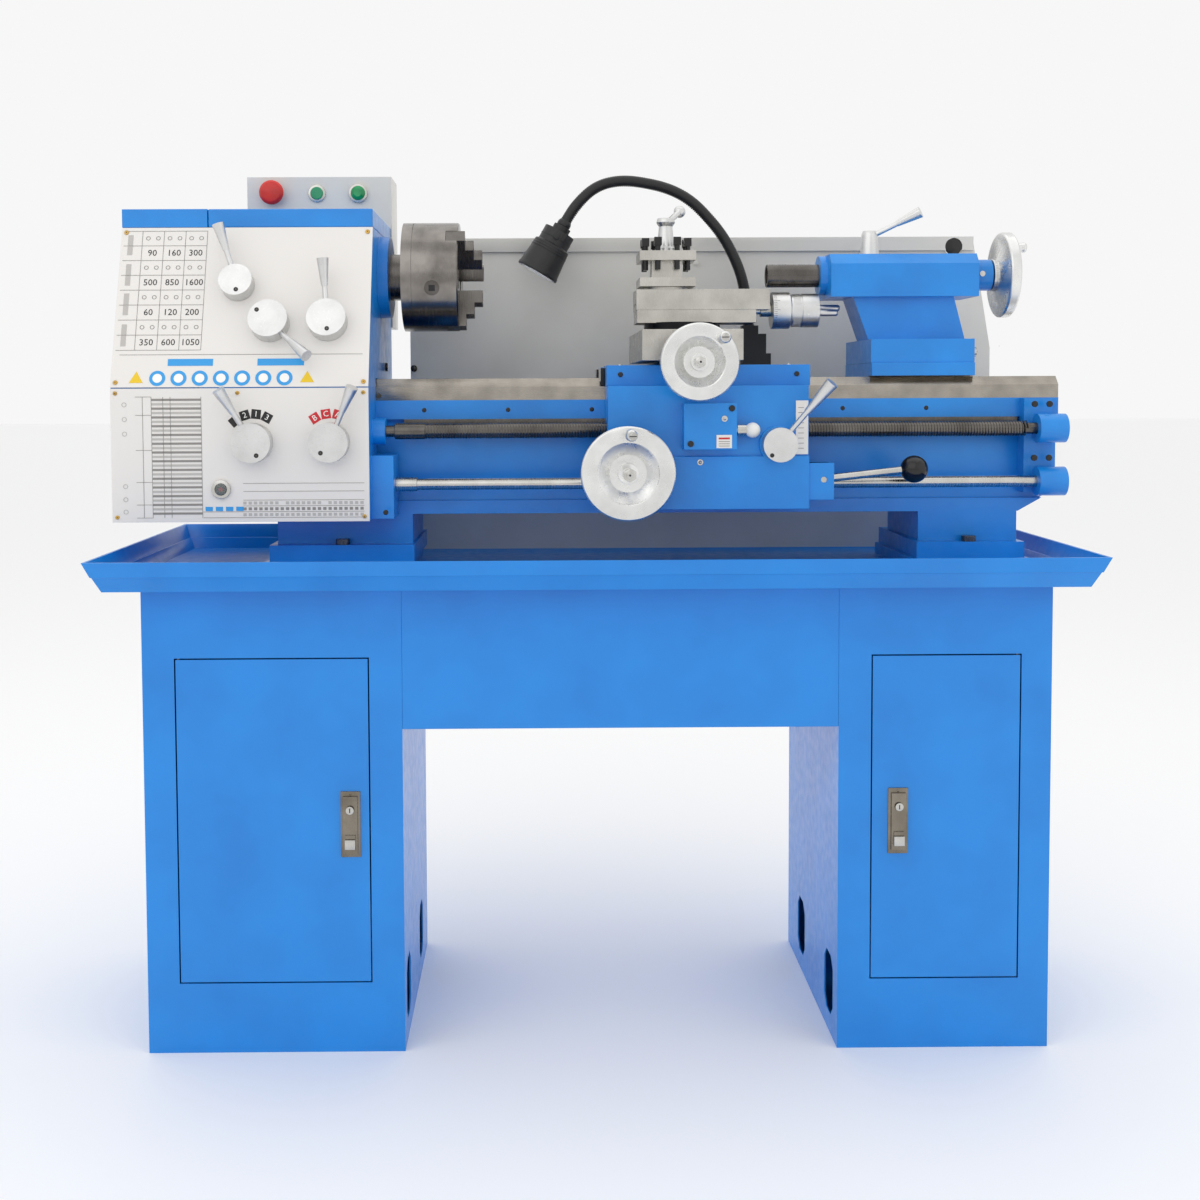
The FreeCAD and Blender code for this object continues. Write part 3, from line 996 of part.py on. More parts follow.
def work_lamp():
    y = "(axis_y + lamp_y)"
    left = "(lamp_x - lamp_base / 2)"
    foot = span(left, "lamp_x + lamp_base / 2", f"{y} - 15", f"{y} + 10", SADDLE_TOP, f"{SADDLE_TOP} + 22")
    column = span(left, "lamp_x + lamp_base / 3", f"{y} - 15", f"{y} + 10", SADDLE_TOP,
                  f"{SADDLE_TOP} + lamp_tall * 0.8")
    neck = span(left, "lamp_x + 3", f"{y} - 12", f"{y} + 8", SADDLE_TOP, f"{SADDLE_TOP} + lamp_tall")
    base_x = number("lamp_x") - 10
    top = number(f"{SADDLE_TOP} + lamp_tall")
    run = [(0, -4), (-6, 60), (-17, 100), (-42, 150), (-89, 202), (-131, 224), (-196, 236), (-241, 227),
           (-276, 194), (-292, 166)]
    points = [FreeCAD.Vector(base_x + across, 0, top + up - 6) for across, up in run]
    wire = rounded_path(points)
    heading = points[1] - points[0]
    circle = Part.Wire(Part.makeCircle(number("tube_size"), points[0], heading))
    tube = feature(wire.makePipeShell([circle], True, False))
    place(tube, 0, y, 0)
    tip = points[-1]
    end = ball("joint_ball", f"{tip.x:.4f}", y, f"{tip.z:.4f}")
    finish("lamp_stem", fuse(foot, column, neck, tube, end))
    axis = (points[-1] - points[-2]).normalize()
    point = FreeCAD.Rotation(FreeCAD.Vector(0, 0, 1), axis)
    head = turned([("0", "joint_ball * 1.4143 + 0.07"), ("joint_ball * 1.4143 - 3.93", "4"),
                   ("joint_ball + 3", "4"), ("joint_ball + 3", "14"), ("lamp_size - 12", "14"),
                   ("lamp_size - 9", "13"), ("lamp_size - 9", "36"), ("lamp_size - 5", "38"),
                   ("lamp_size - 1", "lamp_long + 14"), ("lamp_size", "lamp_long + 16"),
                   ("lamp_size", "lamp_long + 20"), ("0", "lamp_long + 18")], 0, 0, 0)
    head.Placement.Rotation = point
    for letter, text in (("x", f"{tip.x:.4f}"), ("y", y), ("z", f"{tip.z:.4f}")):
        head.setExpression("Placement.Base." + letter, bound(text))
    finish("lamp_head", head)


saddle()
apron()
apron_controls()
cross_slide()
compound()
toolpost()
work_lamp()

# ---- tailstock ---------------------------------------------------------
def tailstock():
    right = "(tail_left + tail_long)"
    sole_top = "(way_z + tail_base_tall)"
    sole = span("tail_left", right, "axis_y - bed_half + 2", "axis_y + bed_half - 2", "way_z", sole_top)
    vees = [span("tail_left - 1", f"{right} + 1", f"axis_y + {low}", f"axis_y + {high}",
                 "way_z - 1", "way_z + vee_rise + 1")
            for low, high in (("(-bed_half - 1)", "(-bed_half + vee_rise * 2 + 1)"),
                              ("(bed_half - vee_rise * 2 - 1)", "(bed_half + 1)"))]
    clamp = span("tail_left + 40", f"{right} - 40", "axis_y - bed_half + way_wide + 4",
                 "axis_y + bed_half - way_wide - 4", "way_z - way_tall + 2", "way_z + 1")
    finish("tailstock_base", cut(fuse(sole, clamp), *vees))

    barrel_low = "(axis_z - tail_body_tall / 2 - 3)"
    foot_top = f"({sole_top} + 34)"
    foot = span("tail_left", right, "axis_y - bed_half + 6", "axis_y + bed_half - 6", sole_top, foot_top)
    neck = plate([("tail_left + 7", f"{foot_top} - 1"), (f"{right}", f"{foot_top} - 1"),
                  ("tail_body_right - 34", f"{barrel_low} + 4"), ("tail_body_left + 34", f"{barrel_low} + 4")],
                 "tail_neck_half * 2", 0, "axis_y + tail_neck_half", 0, "XZ_Plane")
    flat = "(tail_body_half - 14)"
    barrel = plate([(f"axis_y - tail_body_half", barrel_low), ("axis_y + tail_body_half", barrel_low),
                    ("axis_y + tail_body_half", "axis_z + 14"), (f"axis_y + {flat}", "axis_z + tail_body_tall / 2 - 2"),
                    (f"axis_y - {flat}", "axis_z + tail_body_tall / 2 - 2"), ("axis_y - tail_body_half", "axis_z + 14")],
                   "tail_body_right - tail_body_left", "tail_body_left", 0, 0, "YZ_Plane")
    flange = rod("quill_size + 12", 12, "tail_body_left - 10", "axis_y", "axis_z", "X")
    collar = rod("quill_size + 6", 31, "tail_body_right - 1", "axis_y", "axis_z", "X")
    bore = rod("quill_size + quill_clear", "tail_body_right - tail_body_left + 4", "tail_body_left - 12",
               "axis_y", "axis_z", "X")
    back_bore = rod("stud_size + run_gap", 60, "tail_body_right - 20", "axis_y", "axis_z", "X")
    lock_hole = rod("6 + run_gap", 60, "quill_lock_x", "axis_y", "axis_z + quill_size")
    finish("tailstock_body", cut(fuse(foot, neck, barrel, flange, collar), bore, back_bore, lock_hole))

    quill = rod("quill_size", "tail_body_right - quill_from - 80", "quill_from", "axis_y", "axis_z", "X")
    socket = cone(12, 8, 70, "quill_from - 0.1", "axis_y", "axis_z", "X")
    thread = rod("stud_size + run_gap", 260, "quill_from + 80", "axis_y", "axis_z", "X")
    finish("quill", cut(quill, socket, thread))

    wheel("tailstock_handwheel", "tail_wheel_size", "13", "30", "stud_size", "190", "34",
          147, "tail_body_right + 30", "axis_y", "axis_z", "X")

    top = "axis_z + tail_body_tall / 2 - 2"
    hub = turned([("0", "-11"), ("6", "-11"), ("6", "0.3"), ("14", "0.3"), ("12", "32"), ("10", "37"), ("0", "38")],
                 "quill_lock_x", "axis_y", top)
    swing = FreeCAD.Rotation(FreeCAD.Vector(0, 0, 1), -25).multiply(FreeCAD.Rotation(FreeCAD.Vector(0, 1, 0), 66))
    reach = swing.multVec(FreeCAD.Vector(0, 0, 1))
    arms = []
    for shape, near in ((rod(4, 50, 0, 0, 0), 4), (cone(4.5, 8.5, 38, 0, 0, 0), 44)):
        shape.Placement.Rotation = swing
        for letter, factor, offset in (("x", reach.x, "quill_lock_x"), ("y", reach.y, "axis_y"),
                                       ("z", reach.z, f"{top} + 28")):
            shape.setExpression("Placement.Base." + letter, bound(f"{offset} + {factor * near:.4f}"))
        arms.append(shape)
    finish("quill_lock", fuse(hub, *arms))


def bolts_and_pins():
    pieces = []
    for middle in ("-(left_foot_from + left_foot_to) / 2", "(right_foot_from + right_foot_to) / 2"):
        for side in (-1, 1):
            y = f"axis_y + {side} * (foot_half - 12)"
            pieces.append(fuse(rod("bolt_size", "foot_tall + 1", middle, y, "foot_z"),
                               rod("bolt_size * 1.7", 8, middle, y, "foot_z + foot_tall")))
    for hinge_at in (left_pin_x, right_pin_x):
        for low in ("door_low - pivot_reach + 1", "door_low + door_tall - pivot_reach + 1"):
            pieces.append(rod("pivot_pin", "pivot_reach * 2 - 2", hinge_at, f"{FRONT} + pivot_back", low))
    pieces.append(rod("pivot_pin", "hinge_lug * 3", HINGE_X, HINGE_Y, HINGE_Z[0]))
    finish("bolts_and_pins", group(*pieces))


tailstock()
bolts_and_pins()
doc.recompute()
faults = [item.Name for item in doc.Objects if "Invalid" in item.State or "Error" in item.State]
for name, piece in subparts.items():
    if piece.Shape.isNull() or not piece.Shape.isValid():
        faults.append(name)
if faults:
    raise SystemExit("failed: " + ", ".join(faults))
for name, piece in subparts.items():
    piece.Shape.exportStep(f"parts/{name}.step")
print(len(subparts), "sub-parts written")
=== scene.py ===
import json
import math
import bmesh
import bpy
from mathutils import Matrix, Vector


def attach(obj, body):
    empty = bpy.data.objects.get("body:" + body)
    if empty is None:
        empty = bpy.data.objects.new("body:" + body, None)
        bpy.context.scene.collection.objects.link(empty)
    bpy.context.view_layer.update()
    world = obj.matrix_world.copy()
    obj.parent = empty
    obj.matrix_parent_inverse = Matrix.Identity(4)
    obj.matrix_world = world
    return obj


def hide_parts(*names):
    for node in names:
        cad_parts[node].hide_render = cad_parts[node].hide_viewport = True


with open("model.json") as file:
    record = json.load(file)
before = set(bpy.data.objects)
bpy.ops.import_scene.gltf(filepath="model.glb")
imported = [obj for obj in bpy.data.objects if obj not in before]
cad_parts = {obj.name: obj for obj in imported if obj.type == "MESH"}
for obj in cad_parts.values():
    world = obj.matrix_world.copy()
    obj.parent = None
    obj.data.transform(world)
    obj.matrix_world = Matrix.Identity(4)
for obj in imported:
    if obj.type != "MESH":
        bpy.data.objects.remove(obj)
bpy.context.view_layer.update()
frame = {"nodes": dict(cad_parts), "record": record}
nodes = frame["nodes"]
bodyOfNode = {node: body for body, members in frame["record"]["behaviour"]["bodies"].items() for node in members}
mm = 0.001
print("frame loaded:", len(nodes), "nodes")


# materials
def hexColour(text):
    parts = [int(text[i:i + 2], 16) / 255 for i in (0, 2, 4)]
    return [p / 12.92 if p <= 0.04045 else ((p + 0.055) / 1.055) ** 2.4 for p in parts] + [1.0]


def addNode(tree, kind, links=(), **values):
    node = tree.nodes.new("ShaderNode" + kind)
    for key, value in values.items():
        if hasattr(node, key):
            setattr(node, key, value)
        else:
            node.inputs[key.replace("_", " ")].default_value = value
    for socket, source in links:
        tree.links.new(source, node.inputs[socket])
    return node


def startMaterial(name, shade, metal, rough):
    material = bpy.data.materials.new(name)
    material.use_nodes = True
    tree = material.node_tree
    shader = tree.nodes["Principled BSDF"]
    shader.inputs["Metallic"].default_value = metal
    shader.inputs["Roughness"].default_value = rough
    shader.inputs["Base Color"].default_value = hexColour(shade)
    place = addNode(tree, "TexCoord").outputs["Object"]
    return material, tree, shader, place


def mixShades(tree, shader, first, second, factor, low, high):
    spread = addNode(tree, "MapRange", [("Value", factor)], From_Min=low, From_Max=high)
    mix = addNode(tree, "Mix", data_type="RGBA")
    mix.inputs[6].default_value = hexColour(first)
    mix.inputs[7].default_value = hexColour(second)
    tree.links.new(spread.outputs["Result"], mix.inputs["Factor"])
    tree.links.new(mix.outputs[2], shader.inputs["Base Color"])


def roughSpread(tree, shader, factor, low, high):
    spread = addNode(tree, "MapRange", [("Value", factor)], From_Min=0.3, From_Max=0.7, To_Min=low, To_Max=high)
    tree.links.new(spread.outputs["Result"], shader.inputs["Roughness"])


def addBump(tree, shader, heights):
    last = None
    for height, distance, strength in heights:
        links = [("Height", height)] + ([("Normal", last)] if last else [])
        last = addNode(tree, "Bump", links, Strength=strength, Distance=distance).outputs["Normal"]
    tree.links.new(last, shader.inputs["Normal"])


def enamel(name, shade, deep, rough, peel, lumps):
    material, tree, shader, place = startMaterial(name, shade, 0, rough)
    cloud = addNode(tree, "TexNoise", [("Vector", place)], Scale=9, Detail=3).outputs["Fac"]
    skin = addNode(tree, "TexNoise", [("Vector", place)], Scale=520, Detail=2).outputs["Fac"]
    cast = addNode(tree, "TexNoise", [("Vector", place)], Scale=70, Detail=4).outputs["Fac"]
    mixShades(tree, shader, shade, deep, cloud, 0.35, 0.75)
    roughSpread(tree, shader, cast, rough - 0.06, rough + 0.08)
    addBump(tree, shader, [(cast, 0.0012, lumps), (skin, 0.0003, peel)])
    shader.inputs["Coat Weight"].default_value = 0.25
    shader.inputs["Coat Roughness"].default_value = 0.18
    return material


def machined(name, shade, deep, rough, stretch, depth):
    # fine tool marks: stretch gives marks per metre along X, Y and Z
    material, tree, shader, place = startMaterial(name, shade, 1, rough)
    mapped = addNode(tree, "Mapping", [("Vector", place)], Scale=stretch).outputs["Vector"]
    marks = addNode(tree, "TexNoise", [("Vector", mapped)], Scale=1, Detail=4, Roughness=0.6).outputs["Fac"]
    smear = addNode(tree, "TexNoise", [("Vector", place)], Scale=28, Detail=5).outputs["Fac"]
    mixShades(tree, shader, shade, deep, smear, 0.35, 0.8)
    roughSpread(tree, shader, marks, rough - 0.08, rough + 0.1)
    addBump(tree, shader, [(marks, 0.0002, depth)])
    return material


def moulded(name, shade, deep, rough, grain):
    material, tree, shader, place = startMaterial(name, shade, 0, rough)
    fine = addNode(tree, "TexNoise", [("Vector", place)], Scale=grain, Detail=3).outputs["Fac"]
    mixShades(tree, shader, shade, deep, fine, 0.3, 0.7)
    roughSpread(tree, shader, fine, rough - 0.05, rough + 0.07)
    addBump(tree, shader, [(fine, 0.0002, 0.35)])
    return material


def printed(name, shade, rough):
    material, tree, shader, place = startMaterial(name, shade, 0, rough)
    fine = addNode(tree, "TexNoise", [("Vector", place)], Scale=900, Detail=2).outputs["Fac"]
    addBump(tree, shader, [(fine, 0.0001, 0.2)])
    return material


# sprayed enamel over iron and sheet steel: gloss with slight orange peel, and soft lumps on castings
paints = {
    "castBlue": ("068AE0", "0476C8", 0.36, 0.10, 0.28), "sheetBlue": ("0486DE", "037AD0", 0.34, 0.14, 0.03),
    "boxGrey": ("DAD8D2", "CFCDC6", 0.42, 0.16, 0.03), "motorGrey": ("3A4048", "2B3036", 0.45, 0.1, 0.25),
}
# ground, turned or polished metal: fine marks along the cut, and faint smears of oil
metals = {
    "groundIron": ("C6C3BC", "A9A69F", 0.30, (1800, 40, 40), 0.35),
    "groundWays": ("A39D94", "7E7972", 0.26, (30, 2400, 2400), 0.3),
    "blackIron": ("2A2A2C", "1B1B1D", 0.38, (900, 60, 900), 0.25),
    "brightSteel": ("C9C8C4", "AFADA8", 0.22, (1500, 30, 30), 0.3),
    "darkSteel": ("6E6A66", "4C4946", 0.24, (1500, 30, 30), 0.3),
    "chuckSteel": ("8F8A85", "5B5753", 0.2, (2200, 25, 25), 0.35),
    "satinAlloy": ("DCDCDB", "C9C9C8", 0.33, (500, 500, 500), 0.12),
    "wheelAlloy": ("E6E6E4", "D2D2D0", 0.28, (60, 60, 60), 0.08),
    "latchBronze": ("8C8478", "6B645A", 0.25, (1200, 40, 40), 0.3),
    "brass": ("C9A45C", "A98642", 0.3, (400, 400, 400), 0.1),
}
# moulded plastic and rubber: an even colour with a fine grain
plastics = {
    "stopRed": ("D8261F", "C21F19", 0.22, 60), "startGreen": ("1F9A66", "17885A", 0.25, 60),
    "lampGreen": ("0E9C58", "0A7D46", 0.12, 60), "blackRubber": ("161617", "0F0F10", 0.62, 700),
    "lampBlack": ("1B1B1D", "131315", 0.42, 1400), "knobBlack": ("101011", "0A0A0B", 0.18, 80),
    "whiteKnob": ("EDEDEA", "E2E2DE", 0.25, 80), "beltRubber": ("1D1D1E", "141415", 0.7, 500),
}
# screen-printed inks and coated plates: almost flat, with a little tooth; the flat black is also used as painted
# shade for the insides of screw sockets, slots, keyholes and chuck key sockets
inks = {"plateGrey": ("E4E1DD", 0.38), "inkGrey": ("8B8884", 0.5), "inkBlack": ("161616", 0.45),
        "inkRed": ("C8202A", 0.45), "inkBlue": ("2E9BE0", 0.4), "inkYellow": ("E8C31C", 0.4),
        "paleInk": ("F4F3F0", 0.4), "midGrey": ("B9B6B2", 0.5)}
finish = {}
for name, values in paints.items():
    finish[name] = enamel(name, *values)
for name, values in metals.items():
    finish[name] = machined(name, *values)
for name, values in plastics.items():
    finish[name] = moulded(name, *values)
for name, values in inks.items():
    finish[name] = printed(name, *values)
# clear acrylic window of the oil gauge
glass = startMaterial("sightGlass", "D9E4DF", 0, 0.06)
glass[2].inputs["Transmission Weight"].default_value = 0.85
glass[2].inputs["IOR"].default_value = 1.48
finish["sightGlass"] = glass[0]
# frosted lens, faintly lit from behind
frost = startMaterial("frostedLens", "F2F2EE", 0, 0.4)
frost[2].inputs["Emission Color"].default_value = (1, 1, 0.97, 1)
frost[2].inputs["Emission Strength"].default_value = 0.15
finish["frostedLens"] = frost[0]
print("materials ready:", len(finish))


# pieces
def addPiece(name, shape, materials, body, smooth=True):
    mesh = bpy.data.meshes.new(name)
    for face in shape.faces:
        face.smooth = smooth
    shape.to_mesh(mesh)
    shape.free()
    if smooth:
        mesh.set_sharp_from_angle(angle=math.radians(34))
    piece = bpy.data.objects.new(name, mesh)
    bpy.context.scene.collection.objects.link(piece)
    for material in ([materials] if isinstance(materials, str) else materials):
        mesh.materials.append(finish[material])
    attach(piece, body)
    return piece


def softEdges(piece, width, segments=2, angle=32):
    bevel = piece.modifiers.new("softEdges", "BEVEL")
    bevel.width = width * mm
    bevel.segments = segments
    bevel.limit_method = "ANGLE"
    bevel.angle_limit = math.radians(angle)
    bevel.harden_normals = True
    return piece


def finishedCopy(node, materials, width, pick=None):
    # a merged copy of a solid with softened edges; pick chooses a material for each face
    shape = bmesh.new()
    shape.from_mesh(nodes[node].data)
    bmesh.ops.remove_doubles(shape, verts=shape.verts, dist=0.000002)
    bmesh.ops.dissolve_limit(shape, angle_limit=math.radians(0.6), verts=shape.verts, edges=shape.edges)
    if pick:
        for face in shape.faces:
            face.material_index = pick(face.calc_center_median() / mm, face.normal)
    words = node.split("_")
    name = words[0] + "".join(word.capitalize() for word in words[1:]) + "Finished"
    piece = addPiece(name, shape, materials, bodyOfNode[node])
    piece.data.set_sharp_from_angle(angle=math.radians(32))
    softEdges(piece, width)
    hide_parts(node)
    return piece


def wayFaces(centre, normal):
    return 1 if centre.z > 886.5 and (centre.z > 893 or abs(normal.z) < 0.5) else 0


def saddleFaces(centre, normal):
    return 1 if centre.z > 934.5 else 0


def tailFaces(centre, normal):
    return 1 if centre.z < 919 else 0


def baseFaces(centre, normal):
    return 1 if centre.z < 997.5 else 0


def controlFaces(centre, normal):
    return 1 if centre.x > 425 else 0


def selectorFaces(centre, normal):
    return 1 if centre.x < 204 else 0


castings = {
    "bed": (["castBlue", "groundWays"], 1.2, wayFaces), "headstock": ("castBlue", 1.5, None),
    "headstock_cover": ("castBlue", 2.0, None), "feed_gearbox": ("castBlue", 1.5, None),
    "end_cover": ("castBlue", 1.8, None), "end_bracket": ("castBlue", 1.5, None),
    "apron": ("castBlue", 1.5, None), "saddle": (["castBlue", "groundIron"], 1.2, saddleFaces),
    "tailstock_base": (["castBlue", "groundIron"], 1.0, tailFaces), "tailstock_body": ("castBlue", 2.5, None),
}
sheets = {
    "left_cabinet": ("sheetBlue", 0.7), "right_cabinet": ("sheetBlue", 0.7), "left_door": ("sheetBlue", 0.7),
    "right_door": ("sheetBlue", 0.7), "knee_panel": ("sheetBlue", 0.8), "chip_tray": ("sheetBlue", 0.6),
    "electrical_box": ("boxGrey", 0.8), "splash_guard": ("boxGrey", 0.6),
    "upper_fascia": ("plateGrey", 0.3), "lower_fascia": ("plateGrey", 0.3),
}
machinedParts = {
    "cross_slide": ("groundIron", 0.8),
    "compound_base": (["groundIron", "blackIron"], 0.8, baseFaces), "compound_slide": ("groundIron", 0.8),
    "rack": ("darkSteel", 0.3), "toolpost": ("groundIron", 0.8), "toolpost_screws": ("knobBlack", 0.5),
    "toolpost_lever": ("satinAlloy", 0.5), "chuck_body": ("chuckSteel", 1.0), "chuck_jaw_1": ("darkSteel", 0.6),
    "chuck_jaw_2": ("darkSteel", 0.6), "chuck_jaw_3": ("darkSteel", 0.6), "spindle": ("darkSteel", 0.6),
    "leadscrew": ("darkSteel", 0.3), "feed_rod": ("brightSteel", 0.4), "idler_gear": ("darkSteel", 0.3),
    "motor_pulley": ("darkSteel", 0.5), "input_pulley": ("darkSteel", 0.5), "quill": ("darkSteel", 0.6),
    "range_lever": ("satinAlloy", 1.0), "speed_lever_left": ("satinAlloy", 1.0),
    "speed_lever_right": ("satinAlloy", 1.0), "feed_lever_left": ("satinAlloy", 1.0),
    "feed_lever_right": ("satinAlloy", 1.0), "half_nut_lever": ("satinAlloy", 1.0),
    "quill_lock": ("satinAlloy", 0.6), "feed_selector": (["whiteKnob", "brightSteel"], 0.4, selectorFaces),
    "control_lever": (["brightSteel", "knobBlack"], 0.5, controlFaces),
    "apron_handwheel": ("wheelAlloy", 1.0), "cross_handwheel": ("wheelAlloy", 1.0),
    "compound_crank": ("satinAlloy", 0.8), "tailstock_handwheel": ("wheelAlloy", 1.0),
    "left_latch": ("latchBronze", 0.5), "right_latch": ("latchBronze", 0.5), "stop_button": ("stopRed", 1.2),
    "start_button": ("startGreen", 0.8), "main_motor": ("motorGrey", 1.0), "drive_belt": ("beltRubber", 0.8),
    "lamp_head": ("lampBlack", 0.8), "lamp_stem": ("lampBlack", 0.5), "bolts_and_pins": ("darkSteel", 0.5),
}
for node, values in castings.items():
    finishedCopy(node, *values)
for node, values in list(sheets.items()) + list(machinedParts.items()):
    finishedCopy(node, *values)
print("carried-over solids finished")


# shapes shared by the small pieces
def startShape():
    return bmesh.new()


def joinDisc(shape, place, axis, radius, thick, segments=32, edge=0.0, top=None, index=0):
    # a disc or cone standing along axis from place, sizes in mm
    made = bmesh.ops.create_cone(shape, cap_ends=True, segments=segments, radius1=radius * mm,
                                 radius2=(radius if top is None else top) * mm, depth=thick * mm)["verts"]
    bmesh.ops.translate(shape, verts=made, vec=(0, 0, thick * mm / 2))
    faces = list({face for vert in made for face in vert.link_faces})
    for face in faces:
        face.material_index = index
    turn = Vector((0, 0, 1)).rotation_difference(Vector(axis)).to_matrix().to_4x4()
    bmesh.ops.transform(shape, matrix=Matrix.Translation(Vector(place) * mm) @ turn, verts=made)
    if edge:
        rims = [e for e in {e for face in faces for e in face.edges} if e.calc_face_angle(0) > 0.8]
        bmesh.ops.bevel(shape, geom=rims, offset=edge * mm, offset_type="OFFSET", segments=2, profile=0.5,
                        affect="EDGES", material=-1)
    return made


def joinBlock(shape, low, high, index=0, turn=None, edge=0.0):
    # a block between two corners, sizes in mm
    low, high = Vector(low), Vector(high)
    made = bmesh.ops.create_cube(shape, size=1)["verts"]
    bmesh.ops.scale(shape, verts=made, vec=(high - low) * mm)
    faces = list({face for vert in made for face in vert.link_faces})
    for face in faces:
        face.material_index = index
    matrix = Matrix.Translation((low + high) / 2 * mm)
    bmesh.ops.transform(shape, matrix=(turn @ matrix) if turn else matrix, verts=made)
    if edge:
        bmesh.ops.bevel(shape, geom=list({e for face in faces for e in face.edges}), offset=edge * mm,
                        offset_type="OFFSET", segments=2, profile=0.5, affect="EDGES", material=-1)
    return made


def joinText(shape, words, height, matrix, index=0):
    data = bpy.data.curves.new("mark", "FONT")
    data.body = words
    data.size = height * mm * 1.38
    data.align_x = "CENTER"
    data.align_y = "CENTER"
    data.extrude = 0.00006
    data.resolution_u = 2
    thing = bpy.data.objects.new("mark", data)
    mesh = bpy.data.meshes.new_from_object(thing)
    mesh.transform(matrix)
    before = len(shape.faces)
    shape.from_mesh(mesh)
    shape.faces.ensure_lookup_table()
    for face in shape.faces[before:]:
        face.material_index = index
    bpy.data.objects.remove(thing)
    bpy.data.curves.remove(data)
    bpy.data.meshes.remove(mesh)


def socketScrew(shape, place, axis, size, tall, socketShadeIndex=1):
    joinDisc(shape, place, axis, size, tall, 24, edge=0.5)
    # the hex socket is a thin flat hexagon in the piece's second material: painted shade standing in for the recess
    joinDisc(shape, Vector(place) + Vector(axis) * (tall - 0.02), axis, size * 0.5, 0.12, 6, index=socketShadeIndex)


# printed fascias
slope = math.atan2(76, 225)  # the upper fascia leans back 76 mm over 225
fasciaInks = ["inkGrey", "inkBlack", "inkBlue", "inkYellow", "paleInk", "midGrey", "inkRed"]
speedTable = {
    "rows": ["90 160 300", "500 850 1600", "60 120 200", "350 600 1050"], "left": -632, "right": -541,
    "top": 232, "bottom": 54, "lines": 0.7, "figures": 9.5,
}


def upperPlane(x, up, lift=0.25):
    # x across and up along the sloping fascia, as a matrix
    y = -161 + up * math.sin(slope)
    z = 906 + up * math.cos(slope)
    turn = Matrix.Rotation(math.pi / 2 - slope, 4, "X")
    out = Vector((0, -math.cos(slope), math.sin(slope))) * lift
    return Matrix.Translation((Vector((x, y, z)) + out) * mm) @ turn


def lowerPlane(x, z, lift=0.25):
    return Matrix.Translation(Vector((x, -161 - lift, z)) * mm) @ Matrix.Rotation(math.pi / 2, 4, "X")


def joinMark(shape, plane, left, right, low, high, index=0):
    # a printed patch on one of the fascias
    joinBlock(shape, (-(right - left) / 2, -(high - low) / 2, -0.1), ((right - left) / 2, (high - low) / 2, 0.1),
              index, plane((left + right) / 2, (low + high) / 2))


def addUpperPrint():
    shape = startShape()
    table = speedTable
    rows, columns = 8, 3
    tall = (table["top"] - table["bottom"]) / rows
    wide = (table["right"] - table["left"]) / columns
    for i in range(rows + 1):
        up = table["bottom"] + i * tall
        joinMark(shape, upperPlane, table["left"] - 26, table["right"], up - 0.3, up + 0.3, 0)
    for i in range(columns + 1):
        across = table["left"] + i * wide
        joinMark(shape, upperPlane, across - 0.3, across + 0.3, table["bottom"], table["top"], 0)
    for i, row in enumerate(table["rows"]):
        up = table["top"] - (2 * i + 1.5) * tall
        for k, figure in enumerate(row.split()):
            joinText(shape, figure, table["figures"], upperPlane(table["left"] + (k + 0.5) * wide, up), 1)
            for j in (-7, 7):
                circle = Vector((table["left"] + (k + 0.5) * wide + j, up + tall, 0))
                joinText(shape, "O", 6.5, upperPlane(circle.x, circle.y), 0)
    for low, high in ((60, 92), (106, 138), (150, 182), (196, 226)):
        joinMark(shape, upperPlane, -652, -645, low, high, 5)
    for left, right in ((-585, -523), (-462, -398)):
        joinMark(shape, upperPlane, left, right, 31, 41, 2)
    for i in range(7):
        x = -598 + i * 29
        joinDisc(shape, upperPlane(x, 13).translation / mm, (0, -math.cos(slope), math.sin(slope)), 11, 0.12, 32,
                 index=2)
        joinDisc(shape, upperPlane(x, 13, 0.4).translation / mm, (0, -math.cos(slope), math.sin(slope)), 6.5, 0.12,
                 24, index=4)
    for x in (-627, -393):
        joinDisc(shape, upperPlane(x, 12).translation / mm, (0, -math.cos(slope), math.sin(slope)), 11, 0.12, 3,
                 index=3)
    joinMark(shape, upperPlane, -652, -318, 47, 47.6, 0)
    addPiece("upperFasciaPrint", shape, fasciaInks, "base", smooth=False)


tiles = {"size": 11, "reach": 39, "first": (-467, 830, "2 1 3", (107, 84, 61, 131), 1),
         "second": (-362, 830, "B C A", (122, 98, 74), 6)}


